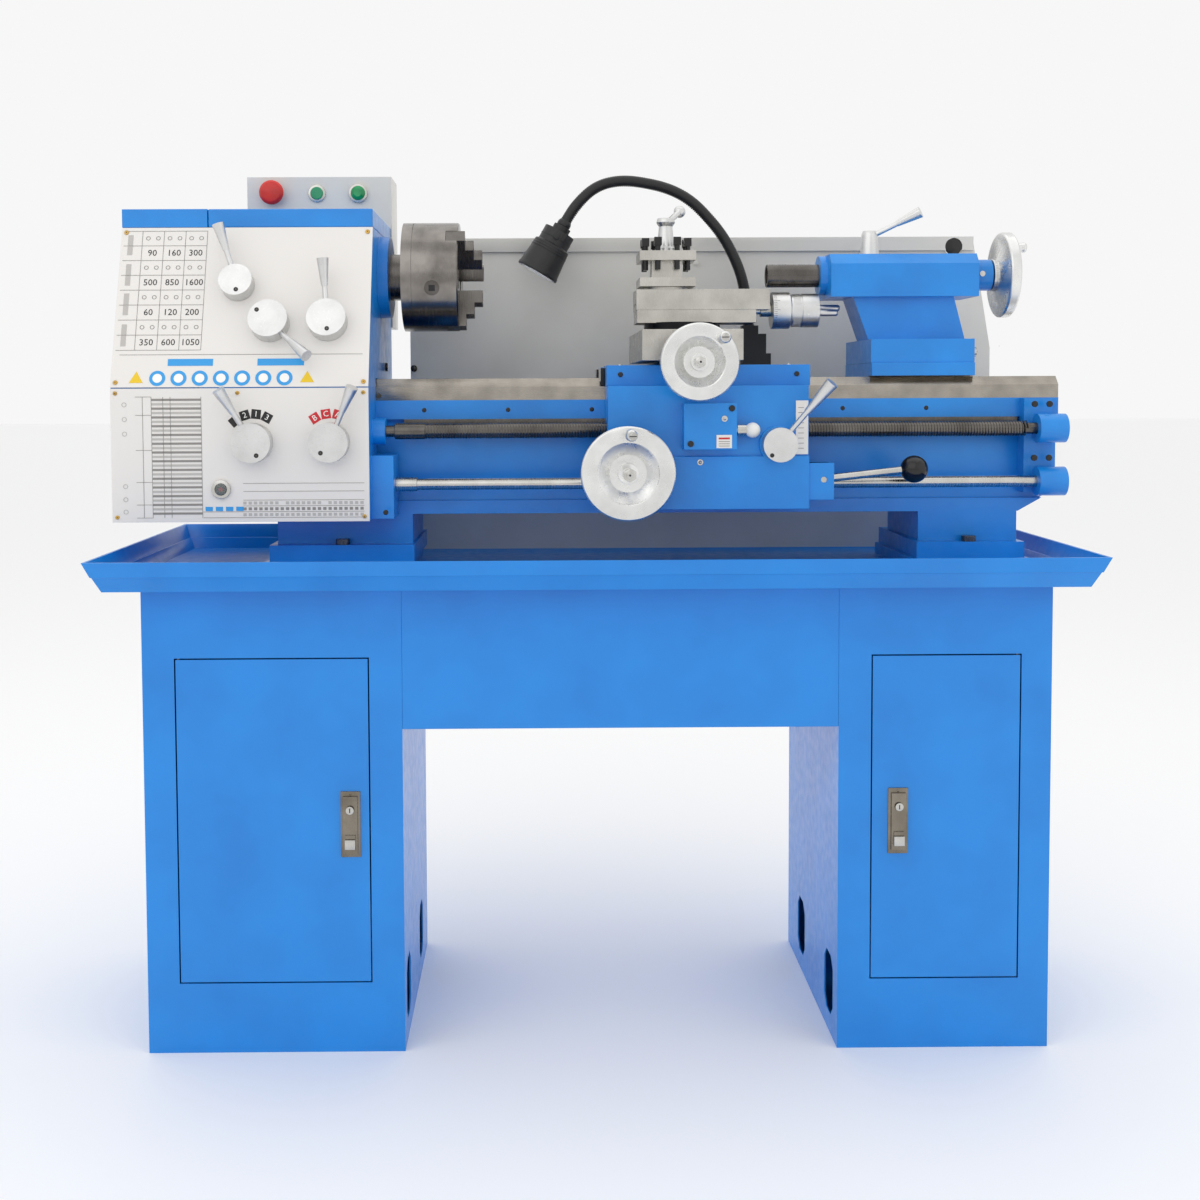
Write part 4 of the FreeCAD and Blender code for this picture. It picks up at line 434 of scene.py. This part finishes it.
def addLowerPrint():
    shape = startShape()
    for i in range(27):
        z = 889 - i * 6
        joinMark(shape, lowerPlane, -606, -538, z - 1.5, z + 1.5, 5 if i % 2 else 0)
    for x in (-618, -606, -590, -580, -538):
        joinMark(shape, lowerPlane, x - 0.3, x + 0.3, 727, 893, 0)
    for z in (893, 868, 820, 776, 745, 727):
        joinMark(shape, lowerPlane, -628, -606, z - 0.3, z + 0.3, 0)
    for z in (882, 862, 842, 770, 752, 735):
        joinText(shape, "O", 7, lowerPlane(-643, z), 5)
    for z in (774, 763, 751, 743, 735, 727):
        joinMark(shape, lowerPlane, -482 if z > 740 else -537, -316, z - 0.3, z + 0.3, 0)
    for i in range(23):
        x = -480 + i * 7.3
        joinMark(shape, lowerPlane, x - 2.2, x + 2.2, 737, 741, 0)
        joinMark(shape, lowerPlane, x - 2.2, x + 2.2, 729, 733, 5)
        if i not in (7, 15):
            joinMark(shape, lowerPlane, x - 2.2, x + 2.2, 745, 749, 5)
    for i in range(4):
        joinMark(shape, lowerPlane, -534 + i * 14, -524 + i * 14, 736, 742, 2)
    for x, z, letters, angles, ink in (tiles["first"], tiles["second"]):
        for letter, angle in zip(letters.split() + [""], angles):
            t = math.radians(angle)
            at = lowerPlane(x + tiles["reach"] * math.cos(t), z + tiles["reach"] * math.sin(t))
            turned = at @ Matrix.Rotation(t - math.pi / 2, 4, "Z")
            half = tiles["size"] / 2 + 1
            joinBlock(shape, (-half, -half, -0.1), (half, half, 0.1), ink, turned)
            if letter:
                joinText(shape, letter, 8, turned @ Matrix.Translation((0, 0, 0.0002)), 4)
    addPiece("lowerFasciaPrint", shape, fasciaInks, "base", smooth=False)


def addFasciaScrews():
    shape = startShape()
    out = (0, -math.cos(slope), math.sin(slope))
    # each screw head carries a thin flat black square: painted shade standing in for its recess
    for x in (-655, -316):
        for up in (7, 230):
            at = upperPlane(x, up, 0).translation / mm
            joinDisc(shape, at, out, 3.2, 1.4, 20, edge=0.4)
            joinDisc(shape, at + Vector(out) * 1.42, out, 0.9, 0.05, 4, index=1)
    for x, z in ((-655, 898), (-488, 898), (-316, 898), (-655, 728), (-316, 728)):
        joinDisc(shape, (x, -161, z), (0, -1, 0), 2.8, 1.4, 20, edge=0.4)
        joinDisc(shape, (x, -162.42, z), (0, -1, 0), 0.8, 0.05, 4, index=1)
    addPiece("fasciaScrews", shape, ["brass", "inkBlack"], "base")


sight = {"x": -512, "z": 766, "ring": 13}


def addSightGlass():
    shape = startShape()
    joinDisc(shape, (sight["x"], -161, sight["z"]), (0, -1, 0), sight["ring"], 4, 40, edge=0.8)
    joinDisc(shape, (sight["x"], -165.02, sight["z"]), (0, -1, 0), 8.5, 0.3, 36, index=1)
    joinDisc(shape, (sight["x"], -165.3, sight["z"]), (0, -1, 0), 8, 1.2, 36, top=5, index=2)
    joinDisc(shape, (sight["x"], -165.34, sight["z"]), (0, -1, 0), 3, 0.3, 16, index=3)
    addPiece("oilSightGlass", shape, ["brightSteel", "inkBlack", "sightGlass", "inkRed"], "base")


# levers and wheels
hubReach = 24.02  # how far a hub stands off its fascia
leverDots = {
    "range_lever": (-494, 1047, 1, (2, -15)), "speed_lever_left": (-447, 993, 1, (-15, 12)),
    "speed_lever_right": (-367, 994, 1, (2, -17)), "feed_lever_left": (-467, 830, 0, (8, -17)),
    "feed_lever_right": (-362, 830, 0, (-10, -14)),
}


def addLeverDots():
    for lever, (x, z, sloping, spot) in leverDots.items():
        shape = startShape()
        if sloping:
            out = Vector((0, -math.cos(slope), math.sin(slope)))
            y = -85 - (1131 - z) * 76 / 225
            upward = Vector((0, math.sin(slope), math.cos(slope)))
            at = Vector((x, y, z)) + out * hubReach + Vector((spot[0], 0, 0)) + upward * spot[1]
        else:
            out = Vector((0, -1, 0))
            at = Vector((x, -161 - hubReach, z)) + Vector((spot[0], 0, spot[1]))
        joinDisc(shape, at, out, 3.2, 0.3, 20)
        joinDisc(shape, at + out * 0.3, out, 1.4, 0.1, 6, index=1)
        addPiece(lever.split("_")[0] + lever.split("_")[-1].capitalize() + "Grub", shape, ["inkBlack", "darkSteel"],
                 bodyOfNode[lever])
    shape = startShape()
    joinDisc(shape, (240, -189.02, 810), (0, -1, 0), 3, 0.3, 20)
    addPiece("halfNutGrub", shape, "inkBlack", "half_nut_body")


wheels = {
    "apron_handwheel": ((44, -236, 787), (0, -1, 0), 64, 45, 88),
    "cross_handwheel": ((137, -237, 936), (0, -1, 0), 52, 36, 47),
}


def addWheelTrim():
    for wheel, (face, out, radius, grip, angle) in wheels.items():
        shape = startShape()
        x, y, z = face
        joinDisc(shape, (x, y - 2.9, z), out, radius * 0.15, 3.5, 6, edge=0.5)
        joinDisc(shape, (x, y - 6.3, z), out, radius * 0.075, 3, 20, edge=0.4)
        # a thin flat black hexagon on the centre nut and a thin flat black bar on the grip screw: painted shade
        # standing in for the socket and the slot
        joinDisc(shape, (x, y - 9.32, z), out, 1.6, 0.1, 6, index=1)
        t = math.radians(angle)
        gx, gz = x + radius * 0.82 * math.cos(t), z + radius * 0.82 * math.sin(t)
        joinDisc(shape, (gx, y - grip - 0.02, gz), out, 5.4, 1.1, 28, edge=0.4)
        joinBlock(shape, (gx - 4.8, y - grip - 1.25, gz - 0.6), (gx + 4.8, y - grip - 1.1, gz + 0.6), 1)
        addPiece(wheel.split("_")[0] + "WheelNut", shape, ["brightSteel", "inkBlack"], bodyOfNode[wheel])


dials = {"crossDial": ((137, -155, 936), (0, -1, 0), 29, 20, "cross_wheel_body", 60),
         "apronDial": ((44, -172, 787), (0, -1, 0), 31, 16, "apron_wheel_body", 60),
         "tailDial": ((599, 25, 1068), (1, 0, 0), 24, 14, "tail_wheel_body", 50)}


def addDials():
    for name, (place, axis, radius, thick, body, count) in dials.items():
        shape = startShape()
        joinDisc(shape, place, axis, radius, thick, 72, edge=0.8)
        turn = Vector((0, 0, 1)).rotation_difference(Vector(axis)).to_matrix().to_4x4()
        for i in range(count):
            long = thick * (0.5 if i % 5 == 0 else 0.28)
            spin = Matrix.Translation(Vector(place) * mm) @ turn @ Matrix.Rotation(2 * math.pi * i / count, 4, "Z")
            joinBlock(shape, (radius - 0.3, -0.22, 1.2), (radius + 0.06, 0.22, 1.2 + long), 1, spin)
        addPiece(name, shape, ["satinAlloy", "inkBlack"], body)
    shape = startShape()
    for i in range(60):
        spin = Matrix.Translation(Vector((269, 13, 1016)) * mm) @ Matrix.Rotation(2 * math.pi * i / 60, 4, "X")
        long = 9 if i % 5 == 0 else 5
        joinBlock(shape, (1.2, -0.22, 26.8), (1.2 + long, 0.22, 27.08), 0, spin)
    for i in range(72):
        spin = Matrix.Translation(Vector((269, 13, 1016)) * mm) @ Matrix.Rotation(2 * math.pi * i / 72, 4, "X")
        joinBlock(shape, (31, -0.5, 23.7), (42, 0.5, 24.5), 1, spin)
    addPiece("compoundDialMarks", shape, ["inkBlack", "satinAlloy"], "crank_body", smooth=False)


for step in (addUpperPrint, addLowerPrint, addFasciaScrews, addSightGlass, addLeverDots, addWheelTrim, addDials):
    step()
print("fascias, levers and dials dressed")


# leadscrew thread, lamp neck and lamp mouth
thread = {"from": -245, "to": 612, "pitch": 4.0, "root": 10.15, "crest": 11.2, "steps": 14}


def addThread():
    shape = startShape()
    low, high = thread["root"] * mm, thread["crest"] * mm
    third = thread["pitch"] * mm / 3.4
    profile = [(0, low), (third * 0.35, high), (third * 1.1, high), (third * 1.45, low)]
    verts = [shape.verts.new((x, 0, r)) for x, r in profile]
    edges = [shape.edges.new(pair) for pair in zip(verts, verts[1:])]
    turns = (thread["to"] - thread["from"]) / thread["pitch"]
    steps = int(turns * thread["steps"])
    bmesh.ops.spin(shape, geom=verts + edges, cent=(0, 0, 0), axis=(1, 0, 0), angle=2 * math.pi * turns,
                   dvec=(thread["pitch"] * mm / thread["steps"], 0, 0), steps=steps, use_merge=False)
    bmesh.ops.recalc_face_normals(shape, faces=shape.faces)
    bmesh.ops.translate(shape, verts=shape.verts, vec=(thread["from"] * mm, -0.105, 0.843))
    addPiece("leadscrewThread", shape, "darkSteel", "leadscrew_body")


neck = {"ribRadius": 8.7, "ribWide": 2.0, "spacing": 3.4}
neckRun = [(257, 155, 994), (251, 155, 1054), (240, 155, 1094), (215, 155, 1144), (168, 155, 1196),
           (126, 155, 1218), (61, 155, 1230), (16, 155, 1221), (-19, 155, 1188), (-35, 155, 1160)]


def addNeckRibs():
    # rings along the neck's smooth line
    data = bpy.data.curves.new("neckLine", "CURVE")
    data.dimensions = "3D"
    line = data.splines.new("NURBS")
    line.points.add(len(neckRun) - 1)
    for point, place in zip(line.points, neckRun):
        point.co = (place[0] * mm, place[1] * mm, place[2] * mm, 1)
    line.order_u = 3
    line.use_endpoint_u = True
    line.resolution_u = 40
    thing = bpy.data.objects.new("neckLine", data)
    mesh = bpy.data.meshes.new_from_object(thing)
    points = [vert.co.copy() for vert in mesh.vertices]
    bpy.data.objects.remove(thing)
    bpy.data.meshes.remove(mesh)
    shape = startShape()
    walked, due = 0.0, 0.0
    for first, second in zip(points, points[1:]):
        run = (second - first).length
        while walked + run >= due:
            at = first.lerp(second, (due - walked) / run if run else 0)
            joinDisc(shape, at / mm - (second - first).normalized() * 1.2, (second - first).normalized(),
                     neck["ribRadius"], neck["ribWide"], 20)
            due += neck["spacing"] * mm
        walked += run
    addPiece("lampNeckRibs", shape, "lampBlack", "carriage")


def addLampTrim():
    tip = Vector((-35, 155, 1160))
    axis = (tip - Vector((-19, 155, 1188))).normalized()
    shape = startShape()
    for along, radius, thick in ((40, 29.6, 1.2), (44, 30.2, 1.2), (48, 30.8, 1.2), (26, 25.6, 1.0)):
        joinDisc(shape, tip + axis * along, axis, radius, thick, 48, edge=0.3)
    end = 86
    joinDisc(shape, tip + axis * (end - 1.2), axis, 33.5, 1.8, 56, edge=0.5)
    joinDisc(shape, tip + axis * (end + 0.62), axis, 31, 0.3, 56, index=1)
    joinDisc(shape, tip + axis * (end + 0.94), axis, 26, 0.6, 48, top=20, index=2)
    side = Vector((0, -1, 0))
    joinDisc(shape, tip + axis * 24 + side * 24.6, side, 5, 2.6, 24, edge=0.7)
    addPiece("lampMouth", shape, ["lampBlack", "paleInk", "frostedLens"], "lamp_body")


# electrical box, pilot lamp and bezels
def addBoxTrim():
    shape = startShape()
    for x, radius, body in ((-493, 15, 0), (-424, 13.6, 0), (-359, 14.6, 0)):
        joinDisc(shape, (x, 165, 1211), (0, -1, 0), radius, 3.2 if x != -359 else 6, 40, edge=0.8)
    addPiece("buttonBezels", shape, "brightSteel", "base")
    shape = startShape()
    joinDisc(shape, (-359, 159, 1211), (0, -1, 0), 11.6, 3, 36, top=10, edge=0.5)
    joinDisc(shape, (-359, 156, 1211), (0, -1, 0), 10, 3, 36, top=6)
    addPiece("pilotLamp", shape, "lampGreen", "base")
    shape = startShape()
    for x in (-526, -315):
        for z in (1010, 1228):
            joinDisc(shape, (x, 255, z), (0, 1, 0), 4, 2, 20, edge=0.5)
            # thin flat black bar: painted shade standing in for the screw slot
            joinBlock(shape, (x - 3.2, 256.9, z - 0.5), (x + 3.2, 257.1, z + 0.5), 1)
    joinBlock(shape, (-531, 254.8, 1003), (-310, 255.8, 1235), 2, edge=0.4)
    joinDisc(shape, (-494, 210, 968), (0, 0, 1), 11, 8, 6, edge=0.6, index=3)
    joinDisc(shape, (-494, 210, 976), (0, 0, 1), 12, 10, 20, edge=0.6, index=3)
    addPiece("boxDoor", shape, ["brightSteel", "inkBlack", "boxGrey", "blackRubber"], "base")


# cabinets
latchPlates = {"leftLatchPlate": (-333, "left_door_body"), "rightLatchPlate": (408, "right_door_body")}


def addLatchPlates():
    for name, (x, body) in latchPlates.items():
        shape = startShape()
        joinBlock(shape, (x - 13.5, -216.6, 270), (x + 13.5, -214.9, 360), 0, edge=0.5)
        for z in (273.5, 356.5):
            joinDisc(shape, (x, -216.6, z), (0, -1, 0), 1.8, 0.6, 16, edge=0.2)
        addPiece(name, shape, "latchBronze", body)
        shape = startShape()
        joinBlock(shape, (x - 7, -226.5, 283), (x + 7, -225.9, 296), 0, edge=0.2)
        joinDisc(shape, (x, -224.2, 336), (0, -1, 0), 5.5, 1.2, 28, edge=0.4)
        # thin flat black bar: painted shade standing in for the keyhole
        joinBlock(shape, (x - 0.7, -225.5, 333), (x + 0.7, -225.3, 339), 1)
        addPiece(name.replace("Plate", "Lock"), shape, ["brightSteel", "inkBlack"],
                 body.replace("door", "latch"))


# castings: screws, plates, oilers and wipers
def addCastingTrim():
    shape = startShape()
    for x, z in ((624, 877), (624, 801), (645, 877), (645, 801)):
        socketScrew(shape, (x, -104, z), (0, -1, 0), 4.5, 3)
    for x in (-295, -287):
        socketScrew(shape, (x, -159, 733 if x == -287 else 893), (0, -1, 0), 3.6, 2.5)
    for x in range(-240, 600, 120):
        socketScrew(shape, (x, -68, 872), (0, -1, 0), 3.4, 1.2)
    joinDisc(shape, (-308.5, 60, 936), (1, 0, 0), 6.5, 4, 24, edge=0.8)
    addPiece("bedScrews", shape, ["knobBlack", "inkBlack"], "base")
    shape = startShape()
    for x, z in ((186, 874), (130, 826)):
        socketScrew(shape, (x, -184, z), (0, -1, 0), 4.2, 2)
    for x, y, z in ((38, -125, 921), (284, -125, 921)):
        socketScrew(shape, (x, y, z), (0, -1, 0), 3.6, 1.5)
    addPiece("apronScrews", shape, ["knobBlack", "inkBlack"], "carriage")
    shape = startShape()
    for place, axis in (((176, -184, 860), (0, -1, 0)), ((145, -165, 800), (0, -1, 0)),
                        ((40, -80, 934), (0, 0, 1)), ((280, -80, 934), (0, 0, 1))):
        joinDisc(shape, place, axis, 4.2, 1.2, 24, edge=0.3)
        joinDisc(shape, Vector(place) + Vector(axis) * 1.2, axis, 2.4, 1.1, 16, top=1.0)
    addPiece("carriageOilers", shape, "brightSteel", "carriage")
    shape = startShape()
    joinBlock(shape, (277, -160.6, 810), (294, -158.9, 884), 0, edge=0.3)
    for i in range(9):
        joinBlock(shape, (280, -160.75, 818 + i * 7), (288, -160.55, 818.8 + i * 7), 1)
    joinBlock(shape, (165, -185.4, 820), (186, -183.9, 838), 0, edge=0.2)
    joinBlock(shape, (168, -185.6, 832), (183, -185.3, 834.5), 2)
    for i in range(3):
        joinBlock(shape, (168, -185.6, 822.5 + i * 3), (183, -185.3, 823.4 + i * 3), 1)
    addPiece("apronPlates", shape, ["plateGrey", "inkGrey", "inkRed"], "carriage", smooth=False)
    shape = startShape()
    for x in (12.5, 303.2):
        for low, high in ((-71, -27), (77, 121)):
            joinBlock(shape, (x, low, 906), (x + 6.3, high, 931), 0, edge=0.8)
            joinBlock(shape, (x - 0.9 if x < 100 else x + 6.3, low, 912), (x if x < 100 else x + 7.2, high, 931), 1)
    addPiece("wayWipers", shape, ["blackRubber", "brightSteel"], "carriage")


def addTailTrim():
    shape = startShape()
    joinDisc(shape, (551, -20, 953), (1, 0, 0), 7, 14, 28, edge=0.8)
    # thin flat black bar on the clamp screw end: painted shade standing in for its slot
    joinBlock(shape, (565, -27, 952.2), (565.2, -13, 953.8), 1)
    for x in (430, 520):
        joinDisc(shape, (x, 25, 1097), (0, 0, 1), 4, 1.4, 24, edge=0.3)
    joinDisc(shape, (578, -5, 1068), (0, -1, 0), 4.2, 2, 20, edge=0.4)
    joinDisc(shape, (585, -66, 960), (0, -1, 0), 0.5, 0.4, 8)
    addPiece("tailstockScrews", shape, ["brightSteel", "inkBlack"], "tailstock")
    shape = startShape()
    for i in range(15):
        long = 9 if i % 5 == 0 else 5
        joinBlock(shape, (272 + i * 4, 25 - long / 2, 1084.9), (272.4 + i * 4, 25 + long / 2, 1085.06), 0)
    addPiece("quillMarks", shape, "inkBlack", "quill_body", smooth=False)


def addChuckTrim():
    shape = startShape()
    for i in range(3):
        t = math.radians(105 + 120 * i)
        up = Vector((0, -math.sin(t), math.cos(t)))
        place = Vector((-229, 25, 1068)) + up * 79.2
        joinDisc(shape, place, up, 11, 1.0, 36, edge=0.3, index=0)
        # thin flat black square: painted shade standing in for the square key socket
        joinBlock(shape, (-4.5, -4.5, 0.95), (4.5, 4.5, 1.15), 1, Matrix.Translation(place * mm)
                  @ Vector((0, 0, 1)).rotation_difference(up).to_matrix().to_4x4())
    for i in range(3):
        t = math.radians(15 + 120 * i)
        place = Vector((-192, 25 + 60 * math.sin(t), 1068 + 60 * math.cos(t)))
        socketScrew(shape, place, (1, 0, 0), 5, 0.8)
    addPiece("chuckSockets", shape, ["darkSteel", "inkBlack"], "spindle_body")


motorFins = {"count": 14, "first": -470, "spacing": 12, "radius": 64.5}


def addRearTrim():
    shape = startShape()
    for i in range(motorFins["count"]):
        joinDisc(shape, (motorFins["first"] + i * motorFins["spacing"], 195, 790), (1, 0, 0),
                 motorFins["radius"], 2.4, 56, edge=0.4)
    joinBlock(shape, (-450, 150, 850), (-370, 230, 870), 1, edge=2.0)
    addPiece("motorFins", shape, ["motorGrey", "motorGrey"], "base")


def addCoverTrim():
    shape = startShape()
    for y, z in ((-60, 1140), (60, 1140), (-120, 740), (150, 740)):
        joinDisc(shape, (-662, y, z), (-1, 0, 0), 4.5, 2.2, 24, edge=0.6)
        # thin flat black bar: painted shade standing in for the screw slot
        joinBlock(shape, (-664.3, y - 3.4, z - 0.5), (-664.1, y + 3.4, z + 0.5), 1)
    joinBlock(shape, (-663.2, 10, 905), (-661.9, 110, 985), 2, edge=0.3)
    for i in range(6):
        joinBlock(shape, (-663.4, 20, 915 + i * 11), (-663.1, 100, 916 + i * 11), 3)
    addPiece("coverScrews", shape, ["brightSteel", "inkBlack", "plateGrey", "inkGrey"], "cover_body")


def addGuardTrim():
    shape = startShape()
    for x in (-260, -60, 180, 420, 600):
        joinDisc(shape, (x, 225, 1105), (0, -1, 0), 4, 1.6, 24, edge=0.4)
    joinDisc(shape, (-279, 225, 936), (0, -1, 0), 5.5, 2.6, 24, edge=0.6, index=1)
    joinDisc(shape, (600, 231, 1130), (0, -1, 0), 13.6, 5.5, 36, edge=1.0, index=1)
    addPiece("guardScrews", shape, ["boxGrey", "knobBlack"], "base")


for step in (addThread, addNeckRibs, addLampTrim, addBoxTrim, addLatchPlates, addCastingTrim, addTailTrim,
             addChuckTrim, addRearTrim, addCoverTrim, addGuardTrim):
    step()
    print("made", step.__name__)


# floor, lights and camera
stage = {"floor": "FAFAFA", "key": 20, "fill": 5, "top": 14, "world": 0.93}


def addStage():
    shape = bmesh.new()
    bmesh.ops.create_grid(shape, x_segments=2, y_segments=2, size=40)
    mesh = bpy.data.meshes.new("studioFloor")
    shape.to_mesh(mesh)
    shape.free()
    floor = bpy.data.objects.new("studioFloor", mesh)
    bpy.context.scene.collection.objects.link(floor)
    material, tree, shader, place = startMaterial("floorPaint", stage["floor"], 0, 0.75)
    mesh.materials.append(material)
    world = bpy.data.worlds.new("studioWorld")
    bpy.context.scene.world = world
    world.use_nodes = True
    world.node_tree.nodes["Background"].inputs["Color"].default_value = (1, 1, 1, 1)
    world.node_tree.nodes["Background"].inputs["Strength"].default_value = stage["world"]


def addSoftLight(name, place, target, size, power):
    data = bpy.data.lights.new(name, "AREA")
    data.shape = "RECTANGLE"
    data.size = size[0]
    data.size_y = size[1]
    data.energy = power
    light = bpy.data.objects.new(name, data)
    bpy.context.scene.collection.objects.link(light)
    light.location = place
    light.rotation_euler = (Vector(target) - Vector(place)).to_track_quat("-Z", "Y").to_euler()


def addCamera():
    data = bpy.data.cameras.new("lathe camera")
    camera = bpy.data.objects.new("lathe camera", data)
    bpy.context.scene.collection.objects.link(camera)
    data.sensor_width = 36
    data.lens = 44.19
    data.shift_x = 0.0414
    data.shift_y = -0.109
    turn = Matrix.Rotation(math.radians(-0.40), 4, "Z") @ Matrix.Rotation(math.radians(86.93), 4, "X")
    turn = turn @ Matrix.Rotation(math.radians(-0.27), 4, "Z")
    camera.matrix_world = Matrix.Translation((-0.0746, -2.181, 0.8997)) @ turn
    bpy.context.scene.camera = camera
    bpy.context.scene.view_settings.view_transform = "Standard"


addStage()
addSoftLight("keyPanel", (-1.6, -2.6, 2.8), (0, 0, 0.8), (4.2, 3.0), stage["key"])
addSoftLight("fillPanel", (2.4, -2.2, 1.6), (0, 0, 0.7), (3.0, 3.0), stage["fill"])
addSoftLight("topPanel", (0.2, 0.4, 3.4), (0, 0, 0.8), (4.0, 2.6), stage["top"])
addCamera()
print("stage ready")
